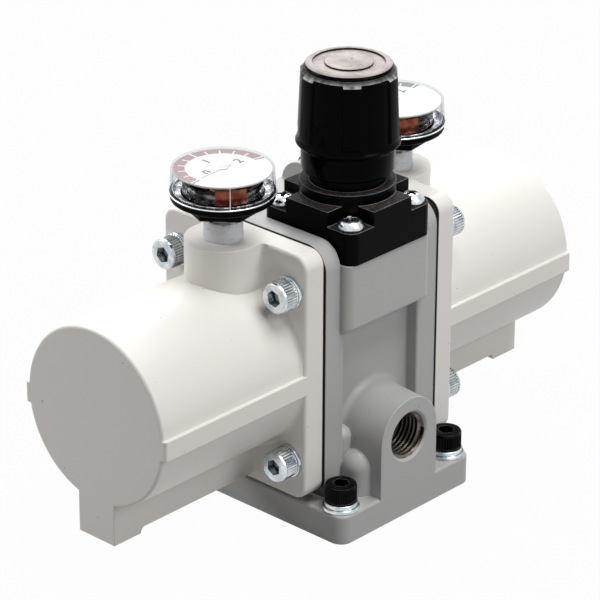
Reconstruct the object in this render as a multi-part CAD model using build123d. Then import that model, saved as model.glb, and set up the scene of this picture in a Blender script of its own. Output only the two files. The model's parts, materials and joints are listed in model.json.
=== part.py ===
from build123d import *

import math
import os

# Air pressure booster: a centre body on a base plate, a cylinder cover bolted to each of its two
# faces, a governor with a knob on top and a gauge on each cover. Millimetres, +Z up, X along the
# cylinders, -Y the face with the exhaust port, origin at the base's bottom centre.

# Clearances
RUNNING_FIT = 0.05
SEATED_FIT = 0.05
FREE_GAP = 0.3
END_GAP = 0.3

# Base plate
BASE_THICKNESS = 8.2
BASE_CORNER_R = 3.5
BASE_EDGE_R = 0.8
BASE_SCREW_X = 21.1
BASE_SCREW_MARGIN = 5.1
BASE_WASHER_GAP = 0.4

# Centre body
BODY_HALF_X = 21.8
PANEL_HALF_X = 14.5
PANEL_DEPTH = 3.5
FLANGE_HALF_Y = 25.6
BODY_FLANGE_CORNER_R = 6.6
BODY_EDGE_R = 0.6
BLOCK_HALF_X = 16.3
BLOCK_PROUD = 3.0
BLOCK_HEIGHT = 18.2
BLOCK_SLOPE = 4.5
BLOCK_CORNER_R = 2.6
DECK_INSET = 0.5
DECK_DROP = 5.8
REAR_BLOCK_HEIGHT = 7.6
PORT_BLOCK_HEIGHT = 13.0

# Ports, with the bore at the thread's major diameter
PORT_R = 6.58
PORT_MOUTH_R = 7.2
PORT_DEPTH = 14.0
REAR_PORT_X = 11.2
REAR_PAD_R = 9.4
REAR_PAD_PROUD = 1.2
EXHAUST_Z = 23.0
EXHAUST_DEPTH = 16.0
EXHAUST_BOSS_R = 11.0
EXHAUST_BOSS_DRAFT = 0.9
EXHAUST_ROOT_R = 2.0
FRONT_BUMP_R = 5.0
FRONT_BUMP_X = -10.5
FRONT_BUMP_Y = -27.5
FRONT_BUMP_TOP_Z = 20.6
BACK_BUMP_R = 2.9
BACK_BUMP_X = -12.9
BACK_BUMP_Y = -23.2
BACK_BUMP_TOP_Z = 26.4

# Cylinder covers
OVERALL_LENGTH = 160.0
GASKET_THICKNESS = 0.6
GASKET_INSET = 0.5
COVER_FLANGE_THICKNESS = 6.7
COVER_FLANGE_HALF_Y = 25.5
COVER_FLANGE_HALF_Z = 34.9
COVER_BASE_GAP = 2.4
COVER_FLANGE_CORNER_R = 4.0
COVER_EDGE_R = 0.9
BORE_R = 20.5
COVER_WALL = 4.0
END_WALL = 4.0
RIB_BELOW_AXIS = 3.9
RIB_ABOVE_AXIS = 1.6
FOOT_HALF_Y = 6.4
FOOT_LENGTH = 9.5
FOOT_DROP = 34.7
WEB_DROP = 33.1
FOOT_FILLET_R = 1.5
COVER_ROOT_R = 1.5
GAUGE_BOSS_R = 10.2
GAUGE_BOSS_FILLET_R = 1.2
GAUGE_OFFSET = 3.9
GAUGE_PASSAGE_R = 1.5

# Screws and washers
M5_R = 2.5
M5_HEAD_R = 4.25
M5_HEAD_HEIGHT = 5.0
M5_SOCKET_ACROSS = 4.0
M5_SOCKET_DEPTH = 2.6
M5_CLEARANCE_R = 2.75
M5_WASHER_HOLE_R = 2.65
M5_SPRING_WASHER_R = 4.5
M5_SPRING_WASHER_THICKNESS = 1.2
M5_FLAT_WASHER_R = 5.0
M5_FLAT_WASHER_THICKNESS = 1.0
SPLIT_WIDTH = 0.7
COVER_SCREW_Y = 20.0
COVER_SCREW_DZ = 24.2
COVER_SCREW_LENGTH = 14.0
BASE_SCREW_LENGTH = 10.0
M4_R = 2.0
M4_HEAD_R = 3.5
M4_HEAD_HEIGHT = 2.6
M4_LENGTH = 14.0
M4_HEAD_SLOPE = 1.2
M4_CROSS_HALF = 1.8
M4_CROSS_ARM_HALF = 0.5
M4_CROSS_DEPTH = 1.4
HOLE_END_GAP = 0.6

# Piston, rod and their bush
ROD_R = 5.0
ROD_END_R = 4.0
PISTON_LENGTH = 9.0
SEAL_WIDTH = 3.2
SEAL_DEPTH = 2.6
NUT_ACROSS = 13.0
NUT_THICKNESS = 4.0
NUT_RECESS_DEPTH = 4.5
ROD_BORE_R = 7.0
BUSH_HALF_LENGTH = 12.0
ROD_SEAL_WIDTH = 3.4
RETAINER_THICKNESS = 1.1
RETAINER_DEPTH = 0.8

# Changeover valve, beside the rod
SPOOL_Y = 10.0
SPOOL_ABOVE_AXIS = 11.5
SLEEVE_R = 6.0
SPOOL_R = 3.45
SPOOL_GROOVE_R = 2.2
SPOOL_TRAVEL = 2.5
SLEEVE_HALF_LENGTH = 15.0
SLEEVE_PORT_R = 1.0
SLEEVE_PORT_PITCH = 5.0
PUSH_ROD_R = 1.95
PUSH_ROD_HEAD_R = 3.2
PUSH_ROD_HEAD_LENGTH = 1.5
PUSH_ROD_PROUD = 3.0
PUSH_ROD_TRAVEL = 2.0

# Check valves, in pockets of the body's two faces
POCKET_R = 4.5
INLET_Y = 0.0
INLET_BELOW_AXIS = 16.5
OUTLET_Y = -11.0
OUTLET_BELOW_AXIS = 9.5
INLET_POCKET_DEPTH = 8.0
OUTLET_POCKET_DEPTH = 6.2
GALLERY_R = 2.5
INLET_DRILL_R = 2.1
OUTLET_DRILL_R = 1.9
OUTLET_DRILL_DROP = 1.5
POPPET_R = 3.6
POPPET_THICKNESS = 1.6
POPPET_STEM_R = 2.35
POPPET_FLAT = 3.0
POPPET_TRAVEL = 1.5
POPPET_STOP_GAP = 0.1
OUTLET_SEAT_THICKNESS = 3.0

# Governor: bonnet, knob and what they hold
GOVERNOR_Y = -13.2
BONNET_HALF = 15.8
BONNET_CORNER_R = 3.0
BONNET_LEDGE_HEIGHT = 9.0
BONNET_HEIGHT = 13.1
BONNET_NOTCH = 8.5
BONNET_SCREW_OFFSET = 11.8
COLLAR_R = 12.65
COLLAR_HEIGHT = 2.9
NECK_R = 10.2
NECK_HEIGHT = 13.4
NECK_CEILING = 3.0
SPRING_CHAMBER_R = 8.2
DIAPHRAGM_R = 12.5
DIAPHRAGM_THICKNESS = 0.8
DIAPHRAGM_FREE_R = 10.0
DIAPHRAGM_HOLE_R = 1.5
UPPER_CHAMBER_HEIGHT = 3.2
LOWER_CHAMBER_R = 9.5
LOWER_CHAMBER_DEPTH = 3.6
VALVE_CHAMBER_R = 6.0
VALVE_SPRING_HEIGHT = 6.5
VALVE_SEAT_THICKNESS = 5.0
VALVE_SEAT_HOLE_R = 2.6
VALVE_R = 4.0
VALVE_THICKNESS = 2.5
VALVE_STEM_R = 1.2
VALVE_GUIDE_R = 1.5
VALVE_GUIDE_DEPTH = 2.5
VALVE_TRAVEL = 0.8
VALVE_STEM_GAP = 0.1
VALVE_SPRING_R = 2.9
VALVE_SPRING_WIRE = 0.7
VALVE_SPRING_TURNS = 3
PLATE_R = 7.0
PLATE_THICKNESS = 1.5
PLATE_PIN_R = 1.4
PLATE_PIN_LENGTH = 2.0
SCREW_THREAD_R = 4.0
SCREW_HEX_ACROSS = 6.8
SCREW_HEX_LENGTH = 8.0
SCREW_COLLAR_R = 6.0
SCREW_COLLAR_THICKNESS = 1.7
SCREW_BELOW_SEAT = 7.0
SEAT_ABOVE_PLATE = 16.1
SEAT_THICKNESS = 3.5
SEAT_KEY_WIDTH = 2.2
SEAT_KEY_R = 8.9
ADJUSTING_SPRING_R = 5.7
ADJUSTING_SPRING_WIRE = 1.5
ADJUSTING_SPRING_TURNS = 4

# Knob
KNOB_COLLAR_GAP = 2.7
KNOB_SKIRT_R = 12.35
KNOB_SKIRT_HEIGHT = 8.1
KNOB_RIM_R = 13.75
KNOB_RIM_THICKNESS = 0.6
KNOB_RIM_SLOPE = 2.0
KNOB_SKIRT_TURN = 1.4
KNOB_BARREL_LOW_R = 13.15
KNOB_BARREL_HIGH_R = 12.45
KNOB_SHOULDER_HEIGHT = 27.7
KNOB_DOME_R = 11.3
KNOB_DOME_EDGE = 0.85
KNOB_HEIGHT = 29.7
KNOB_LAND_COUNT = 6
KNOB_LAND_WIDTH = 4.6
KNOB_LAND_PROUD = 0.6
KNOB_LAND_ANGLE = -134.0
KNOB_GROOVE_INNER_R = 6.3
KNOB_GROOVE_OUTER_R = 9.4
KNOB_GROOVE_DEPTH = 0.6
KNOB_CROWN = 3.5
KNOB_BOSS_R = 6.4
KNOB_HEX_CLEARANCE = 0.1
KNOB_NECK_GAP = 0.6

# Gauges
GAUGE_STEM_R = 4.8
GAUGE_STEM_DEPTH = 7.0
TAPE_THICKNESS = 0.5
GAUGE_HEX_LIFT = 7.8
GAUGE_HEX_ACROSS = 17.9
GAUGE_HEX_ANGLE = 9.0
GAUGE_HEX_HEIGHT = 2.8
CASE_R = 13.6
CASE_THICKNESS = 1.9
CASE_CHAMFER = 0.6
GAUGE_RING_R = 13.95
GAUGE_RING_WIDTH = 0.9
GAUGE_RING_HEIGHT = 0.6
LENS_LOW_R = 13.7
LENS_HIGH_R = 13.35
LENS_HEIGHT = 6.6
LENS_WALL = 0.5
LENS_EDGE_R = 0.5
DIAL_R = 12.6
DIAL_DROP = 1.35
DIAL_THICKNESS = 0.5
POINTER_LENGTH = 8.6
POINTER_TAIL = 3.0
POINTER_WIDTH = 1.1
POINTER_THICKNESS = 0.3
POINTER_LIFT = 0.25
POINTER_HUB_R = 1.3
POINTER_SHAFT_R = 0.5
POINTER_ANGLES = (-175.0, -152.0)
TUBE_R = 9.8
TUBE_WIDTH = 1.4
TUBE_HEIGHT = 3.4
TUBE_SWEEP = 260.0
MOVEMENT_R = 3.4
MOVEMENT_ARM_WIDTH = 3.0

# Places that follow from the sizes above
AXIS_Z = BASE_THICKNESS + COVER_BASE_GAP + COVER_FLANGE_HALF_Z
FLANGE_TOP_Z = AXIS_Z + COVER_FLANGE_HALF_Z
BASE_SCREW_Y = FLANGE_HALF_Y + BASE_WASHER_GAP + M5_FLAT_WASHER_R
BASE_X = 2 * (BASE_SCREW_X + BASE_SCREW_MARGIN)
BASE_Y = 2 * (BASE_SCREW_Y + BASE_SCREW_MARGIN)
DECK_Z = FLANGE_TOP_Z - DECK_DROP
BLOCK_BOTTOM_Z = DECK_Z - BLOCK_HEIGHT
REAR_BLOCK_BOTTOM_Z = DECK_Z - REAR_BLOCK_HEIGHT
INLET_Z = AXIS_Z - INLET_BELOW_AXIS
OUTLET_Z = AXIS_Z - OUTLET_BELOW_AXIS
OUTLET_DRILL_Z = OUTLET_Z - OUTLET_DRILL_DROP
REAR_PORT_Z = INLET_Z
PORT_BLOCK_TOP_Z = REAR_PORT_Z + PORT_BLOCK_HEIGHT
SPOOL_Z = AXIS_Z + SPOOL_ABOVE_AXIS
RIB_LOW_Z = AXIS_Z - RIB_BELOW_AXIS
RIB_HIGH_Z = AXIS_Z + RIB_ABOVE_AXIS
FOOT_BOTTOM_Z = AXIS_Z - FOOT_DROP
WEB_BOTTOM_Z = AXIS_Z - WEB_DROP
HALF_LENGTH = OVERALL_LENGTH / 2
COVER_FACE_X = BODY_HALF_X + GASKET_THICKNESS
COVER_FLANGE_X = COVER_FACE_X + COVER_FLANGE_THICKNESS
COVER_R = BORE_R + COVER_WALL
GAUGE_X = COVER_FLANGE_X + GAUGE_OFFSET
GAUGE_PASSAGE_Z = FLANGE_TOP_Z - GAUGE_STEM_DEPTH
PANEL_FRONT_Y = PANEL_DEPTH - FLANGE_HALF_Y
PANEL_REAR_Y = FLANGE_HALF_Y - PANEL_DEPTH
BLOCK_FRONT_Y = -FLANGE_HALF_Y - BLOCK_PROUD
BASE_FRONT_Y = -BASE_Y / 2
REAR_PAD_Y = FLANGE_HALF_Y + REAR_PAD_PROUD
COVER_SCREWS = [
    (y, AXIS_Z + dz)
    for y in (-COVER_SCREW_Y, COVER_SCREW_Y)
    for dz in (-COVER_SCREW_DZ, COVER_SCREW_DZ)
]
BASE_SCREWS = [(x, y) for x in (-BASE_SCREW_X, BASE_SCREW_X) for y in (-BASE_SCREW_Y, BASE_SCREW_Y)]
BONNET_SCREWS = [
    (x, GOVERNOR_Y + y)
    for x in (-BONNET_SCREW_OFFSET, BONNET_SCREW_OFFSET)
    for y in (-BONNET_SCREW_OFFSET, BONNET_SCREW_OFFSET)
]
COVER_SCREW_HEAD_X = COVER_FLANGE_X + M5_SPRING_WASHER_THICKNESS
BASE_SCREW_HEAD_Z = BASE_THICKNESS + M5_FLAT_WASHER_THICKNESS + M5_SPRING_WASHER_THICKNESS
INNER_STOP_X = BODY_HALF_X + PUSH_ROD_PROUD + END_GAP
OUTER_STOP_X = HALF_LENGTH - END_WALL - END_GAP
PISTON_TRAVEL = (OUTER_STOP_X - INNER_STOP_X - PISTON_LENGTH) / 2
PISTON_INNER_X = INNER_STOP_X + PISTON_TRAVEL
PISTON_OUTER_X = PISTON_INNER_X + PISTON_LENGTH
PISTON_R = BORE_R - FREE_GAP
SPOOL_HALF_LENGTH = SLEEVE_HALF_LENGTH + FREE_GAP - PUSH_ROD_TRAVEL - END_GAP - SPOOL_TRAVEL
BONNET_LEDGE_Z = DECK_Z + BONNET_LEDGE_HEIGHT
BONNET_TOP_Z = DECK_Z + BONNET_HEIGHT
COLLAR_TOP_Z = BONNET_TOP_Z + COLLAR_HEIGHT
NECK_TOP_Z = COLLAR_TOP_Z + NECK_HEIGHT
VALVE_SEAT_TOP_Z = DECK_Z - LOWER_CHAMBER_DEPTH
VALVE_TOP_Z = VALVE_SEAT_TOP_Z - VALVE_SEAT_THICKNESS
VALVE_LOW_Z = VALVE_TOP_Z - VALVE_THICKNESS
VALVE_CHAMBER_BOTTOM_Z = VALVE_LOW_Z - VALVE_SPRING_HEIGHT
DIAPHRAGM_TOP_Z = DECK_Z + DIAPHRAGM_THICKNESS
PLATE_TOP_Z = DIAPHRAGM_TOP_Z + PLATE_THICKNESS
SEAT_BOTTOM_Z = PLATE_TOP_Z + SEAT_ABOVE_PLATE
SCREW_BOTTOM_Z = SEAT_BOTTOM_Z - SCREW_BELOW_SEAT
CEILING_Z = NECK_TOP_Z - NECK_CEILING
KNOB_BOTTOM_Z = COLLAR_TOP_Z + KNOB_COLLAR_GAP
KNOB_RIM_Z = KNOB_BOTTOM_Z + KNOB_SKIRT_HEIGHT
KNOB_SHOULDER_Z = KNOB_BOTTOM_Z + KNOB_SHOULDER_HEIGHT
KNOB_TOP_Z = KNOB_BOTTOM_Z + KNOB_HEIGHT
KNOB_CAVITY_TOP_Z = KNOB_TOP_Z - KNOB_CROWN
GAUGE_HEX_Z = FLANGE_TOP_Z + GAUGE_HEX_LIFT
GAUGE_CASE_Z = GAUGE_HEX_Z + GAUGE_HEX_HEIGHT
CASE_TOP_Z = GAUGE_CASE_Z + CASE_THICKNESS
RING_TOP_Z = CASE_TOP_Z + GAUGE_RING_HEIGHT
LENS_TOP_Z = RING_TOP_Z + LENS_HEIGHT
DIAL_TOP_Z = LENS_TOP_Z - DIAL_DROP
DIAL_LOW_Z = DIAL_TOP_Z - DIAL_THICKNESS


def block(x0, x1, y0, y1, z0, z1):
    """A rectangular block between two corners."""
    return Pos((x0 + x1) / 2, (y0 + y1) / 2, (z0 + z1) / 2) * Box(x1 - x0, y1 - y0, z1 - z0)


def rod_x(radius, x0, x1, y, z):
    """A round bar along X."""
    return Pos((x0 + x1) / 2, y, z) * Rot(0, 90, 0) * Cylinder(radius, abs(x1 - x0))


def rod_y(radius, y0, y1, x, z):
    """A round bar along Y."""
    return Pos(x, (y0 + y1) / 2, z) * Rot(90, 0, 0) * Cylinder(radius, abs(y1 - y0))


def rod_z(radius, z0, z1, x=0.0, y=0.0):
    """A round bar along Z."""
    return Pos(x, y, (z0 + z1) / 2) * Cylinder(radius, abs(z1 - z0))


def tube_x(outer, inner, x0, x1, y, z):
    """A round tube along X."""
    return rod_x(outer, x0, x1, y, z) - rod_x(inner, x0, x1, y, z)


def tube_z(outer, inner, z0, z1, x=0.0, y=0.0):
    """A round tube along Z."""
    return rod_z(outer, z0, z1, x, y) - rod_z(inner, z0, z1, x, y)


def turned(points, x=0.0, y=0.0):
    """A solid turned about a vertical line through (x, y) from (radius, height) points."""
    face = Plane.XZ * make_face(Polyline(*points, close=True))
    return Pos(x, y, 0) * revolve(face, Axis.Z, 360)


def hexagon(across, z0, z1, x=0.0, y=0.0, angle=0.0):
    """A hexagonal bar along Z, given its size across flats."""
    outline = RegularPolygon(across / math.sqrt(3), 6, rotation=angle)
    return Pos(x, y, z0) * extrude(outline, z1 - z0)


def on_side(side, part):
    """A piece drawn on the +X side, or its mirror image on the -X side."""
    return part if side > 0 else mirror(part, about=Plane.YZ)


def flange_plate(half_y, low_z, high_z, low_r, high_r, x0, x1):
    """A plate across X with rounded upper and lower corners."""
    middle = (low_z + high_z) / 2
    outline = Pos(0, middle) * Rectangle(2 * half_y, high_z - low_z)
    outline = fillet(outline.vertices().filter_by(lambda v: v.Y > middle), high_r)
    if low_r > 0:
        outline = fillet(outline.vertices().sort_by(Axis.Y)[:2], low_r)
    return Pos(x0, 0, 0) * extrude(Plane.YZ * outline, x1 - x0)


def centre_body():
    """The cast centre body: base plate, panelled core, two flanges, ports and valve bores."""
    base = extrude(RectangleRounded(BASE_X, BASE_Y, BASE_CORNER_R), BASE_THICKNESS)
    base = fillet(base.faces().sort_by(Axis.Z)[-1].edges(), BASE_EDGE_R)
    core = block(-PANEL_HALF_X, PANEL_HALF_X, PANEL_FRONT_Y, PANEL_REAR_Y, 0, DECK_Z)
    port_block = block(-PANEL_HALF_X, PANEL_HALF_X, 0, FLANGE_HALF_Y, 0, PORT_BLOCK_TOP_Z)
    deck = block(-BLOCK_HALF_X, BLOCK_HALF_X, 0, FLANGE_HALF_Y - DECK_INSET, REAR_BLOCK_BOTTOM_Z, DECK_Z)
    body = base + core + port_block + deck + governor_block()
    for side in (-1, 1):
        body += on_side(side, body_flange())
    body += exhaust_boss()
    body += bump(FRONT_BUMP_R, FRONT_BUMP_X, FRONT_BUMP_Y, FRONT_BUMP_TOP_Z)
    body += bump(BACK_BUMP_R, BACK_BUMP_X, BACK_BUMP_Y, BACK_BUMP_TOP_Z)
    for x in (-REAR_PORT_X, REAR_PORT_X):
        body += rod_y(REAR_PAD_R, FLANGE_HALF_Y - 1, REAR_PAD_Y, x, REAR_PORT_Z)
    return body - body_holes()


def body_flange():
    """One end flange of the body, with its inner face set back beside the bonnet."""
    plate = flange_plate(
        FLANGE_HALF_Y, 0, FLANGE_TOP_Z, 0, BODY_FLANGE_CORNER_R, PANEL_HALF_X, BODY_HALF_X
    )
    outer_edges = plate.edges().filter_by(lambda e: e.center().X < PANEL_HALF_X + 0.01)
    rim = outer_edges.filter_by(lambda e: e.center().Z > BASE_THICKNESS)
    plate = fillet(rim, BODY_EDGE_R)
    gap = block(0, BLOCK_HALF_X, -FLANGE_HALF_Y - 1, FLANGE_HALF_Y + 1, DECK_Z, FLANGE_TOP_Z + 1)
    return plate - gap


def governor_block():
    """The upper front block that carries the bonnet, with its sloping underside."""
    slope_z = BLOCK_BOTTOM_Z - BLOCK_SLOPE
    outline = Polyline(
        (PANEL_FRONT_Y + 1, slope_z),
        (PANEL_FRONT_Y, slope_z),
        (BLOCK_FRONT_Y, BLOCK_BOTTOM_Z),
        (BLOCK_FRONT_Y, DECK_Z),
        (PANEL_FRONT_Y + 1, DECK_Z),
        close=True,
    )
    shape = Pos(-BLOCK_HALF_X, 0, 0) * extrude(Plane.YZ * make_face(outline), 2 * BLOCK_HALF_X)
    front = shape.edges().filter_by(Axis.Z).filter_by(lambda e: e.center().Y < BLOCK_FRONT_Y + 0.01)
    shape = fillet(front, BLOCK_CORNER_R)
    low_edges = shape.edges().filter_by(lambda e: e.center().Z < BLOCK_BOTTOM_Z + 0.01)
    low_edge = low_edges.filter_by(lambda e: e.center().Y < PANEL_FRONT_Y - BLOCK_PROUD)
    return fillet(low_edge.filter_by(Axis.X), BLOCK_CORNER_R / 2)


def exhaust_boss():
    """The drafted boss of the exhaust port with its piece of panel, joined by a concave fillet."""
    root_y = PANEL_FRONT_Y + 1
    root = Plane(origin=(0, root_y, 0), x_dir=(1, 0, 0), z_dir=(0, -1, 0))
    face = Plane(origin=(0, BASE_FRONT_Y, 0), x_dir=(1, 0, 0), z_dir=(0, -1, 0))
    boss = loft([root * arch(EXHAUST_BOSS_R + EXHAUST_BOSS_DRAFT), face * arch(EXHAUST_BOSS_R)])
    panel_top_z = EXHAUST_Z + EXHAUST_BOSS_R + EXHAUST_BOSS_DRAFT + 2 * EXHAUST_ROOT_R
    panel = block(
        -PANEL_HALF_X, PANEL_HALF_X, PANEL_FRONT_Y, PANEL_FRONT_Y + 2, BASE_THICKNESS / 2, panel_top_z
    )
    joined = boss + panel
    corner = joined.edges().filter_by(
        lambda e: abs(e.center().Y - PANEL_FRONT_Y) < 0.01 and abs(e.center().X) < PANEL_HALF_X - 0.1
        and BASE_THICKNESS / 2 + 0.01 < e.center().Z < panel_top_z - 0.01
    )
    return fillet(corner, EXHAUST_ROOT_R)


def arch(radius):
    """A boss outline: a half circle about the exhaust axis on straight sides."""
    low = BASE_THICKNESS / 2
    lines = Polyline((-radius, EXHAUST_Z), (-radius, low), (radius, low), (radius, EXHAUST_Z))
    top = ThreePointArc((radius, EXHAUST_Z), (0, EXHAUST_Z + radius), (-radius, EXHAUST_Z))
    return make_face([*lines.edges(), top])


def bump(radius, x, y, top_z):
    """A cast stem with a domed top."""
    stem = rod_z(radius, BASE_THICKNESS / 2, top_z - radius, x, y)
    return stem + Pos(x, y, top_z - radius) * Sphere(radius)


def body_holes():
    """Everything that is drilled or bored in the centre body."""
    holes = rod_x(ROD_BORE_R, -BODY_HALF_X, BODY_HALF_X, 0, AXIS_Z)
    holes += rod_x(SLEEVE_R + SEATED_FIT, -BODY_HALF_X, BODY_HALF_X, SPOOL_Y, SPOOL_Z)
    holes += port_bore(0, EXHAUST_Z, BASE_FRONT_Y, EXHAUST_DEPTH)
    for x in (-REAR_PORT_X, REAR_PORT_X):
        holes += port_bore(x, REAR_PORT_Z, REAR_PAD_Y, PORT_DEPTH)
    holes += galleries()
    for side in (-1, 1):
        holes += on_side(side, face_holes())
    for x, y in BASE_SCREWS:
        holes += rod_z(M5_CLEARANCE_R, -1, BASE_THICKNESS + 1, x, y)
    for x, y in BONNET_SCREWS:
        holes += rod_z(M4_R + SEATED_FIT, BONNET_LEDGE_Z - M4_LENGTH - HOLE_END_GAP, DECK_Z + 1, x, y)
    holes += rod_z(LOWER_CHAMBER_R, VALVE_SEAT_TOP_Z, DECK_Z + 1, 0, GOVERNOR_Y)
    holes += rod_z(VALVE_CHAMBER_R, VALVE_CHAMBER_BOTTOM_Z, DECK_Z, 0, GOVERNOR_Y)
    guide_bottom_z = VALVE_CHAMBER_BOTTOM_Z - VALVE_GUIDE_DEPTH
    holes += rod_z(VALVE_GUIDE_R + RUNNING_FIT, guide_bottom_z, DECK_Z, 0, GOVERNOR_Y)
    return holes


def port_bore(x, z, face_y, depth):
    """A port's bore with its chamfered mouth, entering a face at face_y towards the middle."""
    inward = 1 if face_y < 0 else -1
    bore = rod_y(PORT_R, face_y - inward, face_y + inward * depth, x, z)
    chamfer_depth = PORT_MOUTH_R - PORT_R
    mouth = Cone(PORT_R, PORT_MOUTH_R, chamfer_depth)
    turn = Rot(90, 0, 0) if inward > 0 else Rot(-90, 0, 0)
    return bore + Pos(x, face_y + inward * chamfer_depth / 2, z) * turn * mouth


def galleries():
    """The drillings that join the inlet port and the outlet port to their check valves."""
    inlet_floor = BODY_HALF_X - INLET_POCKET_DEPTH
    outlet_floor = BODY_HALF_X - OUTLET_POCKET_DEPTH
    port_floor_y = REAR_PAD_Y - PORT_DEPTH
    holes = rod_x(GALLERY_R, -inlet_floor - 1, inlet_floor + 1, INLET_Y, INLET_Z)
    holes += rod_y(INLET_DRILL_R, INLET_Y, port_floor_y + 1, -REAR_PORT_X, INLET_Z)
    holes += rod_x(GALLERY_R, -outlet_floor - 1, outlet_floor + 1, OUTLET_Y, OUTLET_Z)
    holes += rod_y(OUTLET_DRILL_R, OUTLET_Y, port_floor_y + 1, REAR_PORT_X, OUTLET_DRILL_Z)
    return holes


def face_holes():
    """The holes in one gasket face: screws, valve pockets, gauge passage and retainer groove."""
    tip_x = COVER_SCREW_HEAD_X - COVER_SCREW_LENGTH - HOLE_END_GAP
    holes = rod_x(POCKET_R, BODY_HALF_X - INLET_POCKET_DEPTH, BODY_HALF_X + 1, INLET_Y, INLET_Z)
    holes += rod_x(POCKET_R, BODY_HALF_X - OUTLET_POCKET_DEPTH, BODY_HALF_X + 1, OUTLET_Y, OUTLET_Z)
    holes += rod_x(GAUGE_PASSAGE_R, BLOCK_HALF_X, BODY_HALF_X + 1, 0, GAUGE_PASSAGE_Z)
    for y, z in COVER_SCREWS:
        holes += rod_x(M5_R + SEATED_FIT, tip_x, BODY_HALF_X + 1, y, z)
    groove_x = BUSH_HALF_LENGTH + ROD_SEAL_WIDTH
    groove_r = ROD_BORE_R + RETAINER_DEPTH + SEATED_FIT
    return holes + rod_x(groove_r, groove_x, groove_x + RETAINER_THICKNESS, 0, AXIS_Z)


def cylinder_cover():
    """A cylinder cover on the +X side: flange, cylinder, ribs, foot, web and gauge boss."""
    low_z = AXIS_Z - COVER_FLANGE_HALF_Z
    high_z = AXIS_Z + COVER_FLANGE_HALF_Z
    flange = flange_plate(
        COVER_FLANGE_HALF_Y, low_z, high_z, COVER_FLANGE_CORNER_R, COVER_FLANGE_CORNER_R,
        COVER_FACE_X, COVER_FLANGE_X,
    )
    shell = rod_x(COVER_R, COVER_FACE_X, HALF_LENGTH, 0, AXIS_Z)
    shell = fillet(shell.edges().sort_by(Axis.X)[-1], COVER_EDGE_R)
    reach_y = COVER_FLANGE_HALF_Y
    ribs = block(COVER_FLANGE_X - 1, HALF_LENGTH, -reach_y, reach_y, RIB_LOW_Z, RIB_HIGH_Z)
    ribs = fillet(ribs.faces().sort_by(Axis.X)[-1].edges().filter_by(Axis.Z), COVER_EDGE_R)
    rim = flange.edges().filter_by(lambda e: e.center().X > COVER_FLANGE_X - 0.01)
    cover = fillet(rim, COVER_EDGE_R) + shell + cylinder_root() + ribs + foot() + gauge_boss(high_z)
    cover -= rod_x(BORE_R, COVER_FACE_X - 1, HALF_LENGTH - END_WALL, 0, AXIS_Z)
    for y, z in COVER_SCREWS:
        cover -= rod_x(M5_CLEARANCE_R, COVER_FACE_X - 1, COVER_FLANGE_X + 1, y, z)
    stem_end_z = high_z - GAUGE_STEM_DEPTH - HOLE_END_GAP
    cover -= rod_z(GAUGE_STEM_R + SEATED_FIT, stem_end_z, high_z + 1, GAUGE_X, 0)
    return cover - rod_x(GAUGE_PASSAGE_R, COVER_FACE_X - 1, GAUGE_X, 0, GAUGE_PASSAGE_Z)


def cylinder_root():
    """The concave fillet between the cylinder and the flange, as wide as the flange's flat face."""
    root_r = COVER_R + COVER_ROOT_R
    root = rod_x(root_r + 1, COVER_FACE_X, COVER_FLANGE_X, 0, AXIS_Z)
    root += rod_x(COVER_R, COVER_FACE_X, COVER_FLANGE_X + 2 * COVER_ROOT_R, 0, AXIS_Z)
    corner = root.edges().filter_by(
        lambda e: abs(e.center().X - COVER_FLANGE_X) < 0.01 and abs(e.length - 2 * math.pi * COVER_R) < 0.01
    )
    half_y = COVER_FLANGE_HALF_Y - COVER_EDGE_R
    reach = block(COVER_FACE_X, HALF_LENGTH, -half_y, half_y, AXIS_Z - root_r, AXIS_Z + root_r)
    return fillet(corner, COVER_ROOT_R) & reach


def foot():
    """The foot under the closed end and the web that runs from it to the flange."""
    foot_x = HALF_LENGTH - FOOT_LENGTH
    outline = Polyline(
        (COVER_FLANGE_X - 1, AXIS_Z - BORE_R - 1),
        (COVER_FLANGE_X - 1, WEB_BOTTOM_Z),
        (foot_x, WEB_BOTTOM_Z),
        (foot_x, FOOT_BOTTOM_Z),
        (HALF_LENGTH, FOOT_BOTTOM_Z),
        (HALF_LENGTH, AXIS_Z - BORE_R - 1),
        close=True,
    )
    side_face = make_face(outline)
    corner = side_face.vertices().filter_by(
        lambda v: abs(v.X - foot_x) < 0.01 and abs(v.Y - WEB_BOTTOM_Z) < 0.01
    )
    side_face = fillet(corner, FOOT_FILLET_R)
    return extrude(Plane.XZ * side_face, FOOT_HALF_Y, both=True)


def gauge_boss(top_z):
    """The gauge boss, round outside and straight to the flange, with two small concave fillets."""
    outline = Pos(GAUGE_X, 0) * Circle(GAUGE_BOSS_R)
    strip_half = GAUGE_BOSS_R + GAUGE_BOSS_FILLET_R + 1
    outline += Pos((COVER_FACE_X + COVER_FLANGE_X) / 2, 0) * Rectangle(COVER_FLANGE_THICKNESS, 2 * strip_half)
    outline += Pos((COVER_FACE_X + GAUGE_X) / 2, 0) * Rectangle(GAUGE_X - COVER_FACE_X, 2 * GAUGE_BOSS_R)
    inner_corners = outline.vertices().filter_by(
        lambda v: abs(v.X - COVER_FLANGE_X) < 0.01 and abs(abs(v.Y) - GAUGE_BOSS_R) < 0.01
    )
    outline = fillet(inner_corners, GAUGE_BOSS_FILLET_R)
    return Pos(0, 0, AXIS_Z + BORE_R + 1) * extrude(outline, top_z - AXIS_Z - BORE_R - 1)


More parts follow.
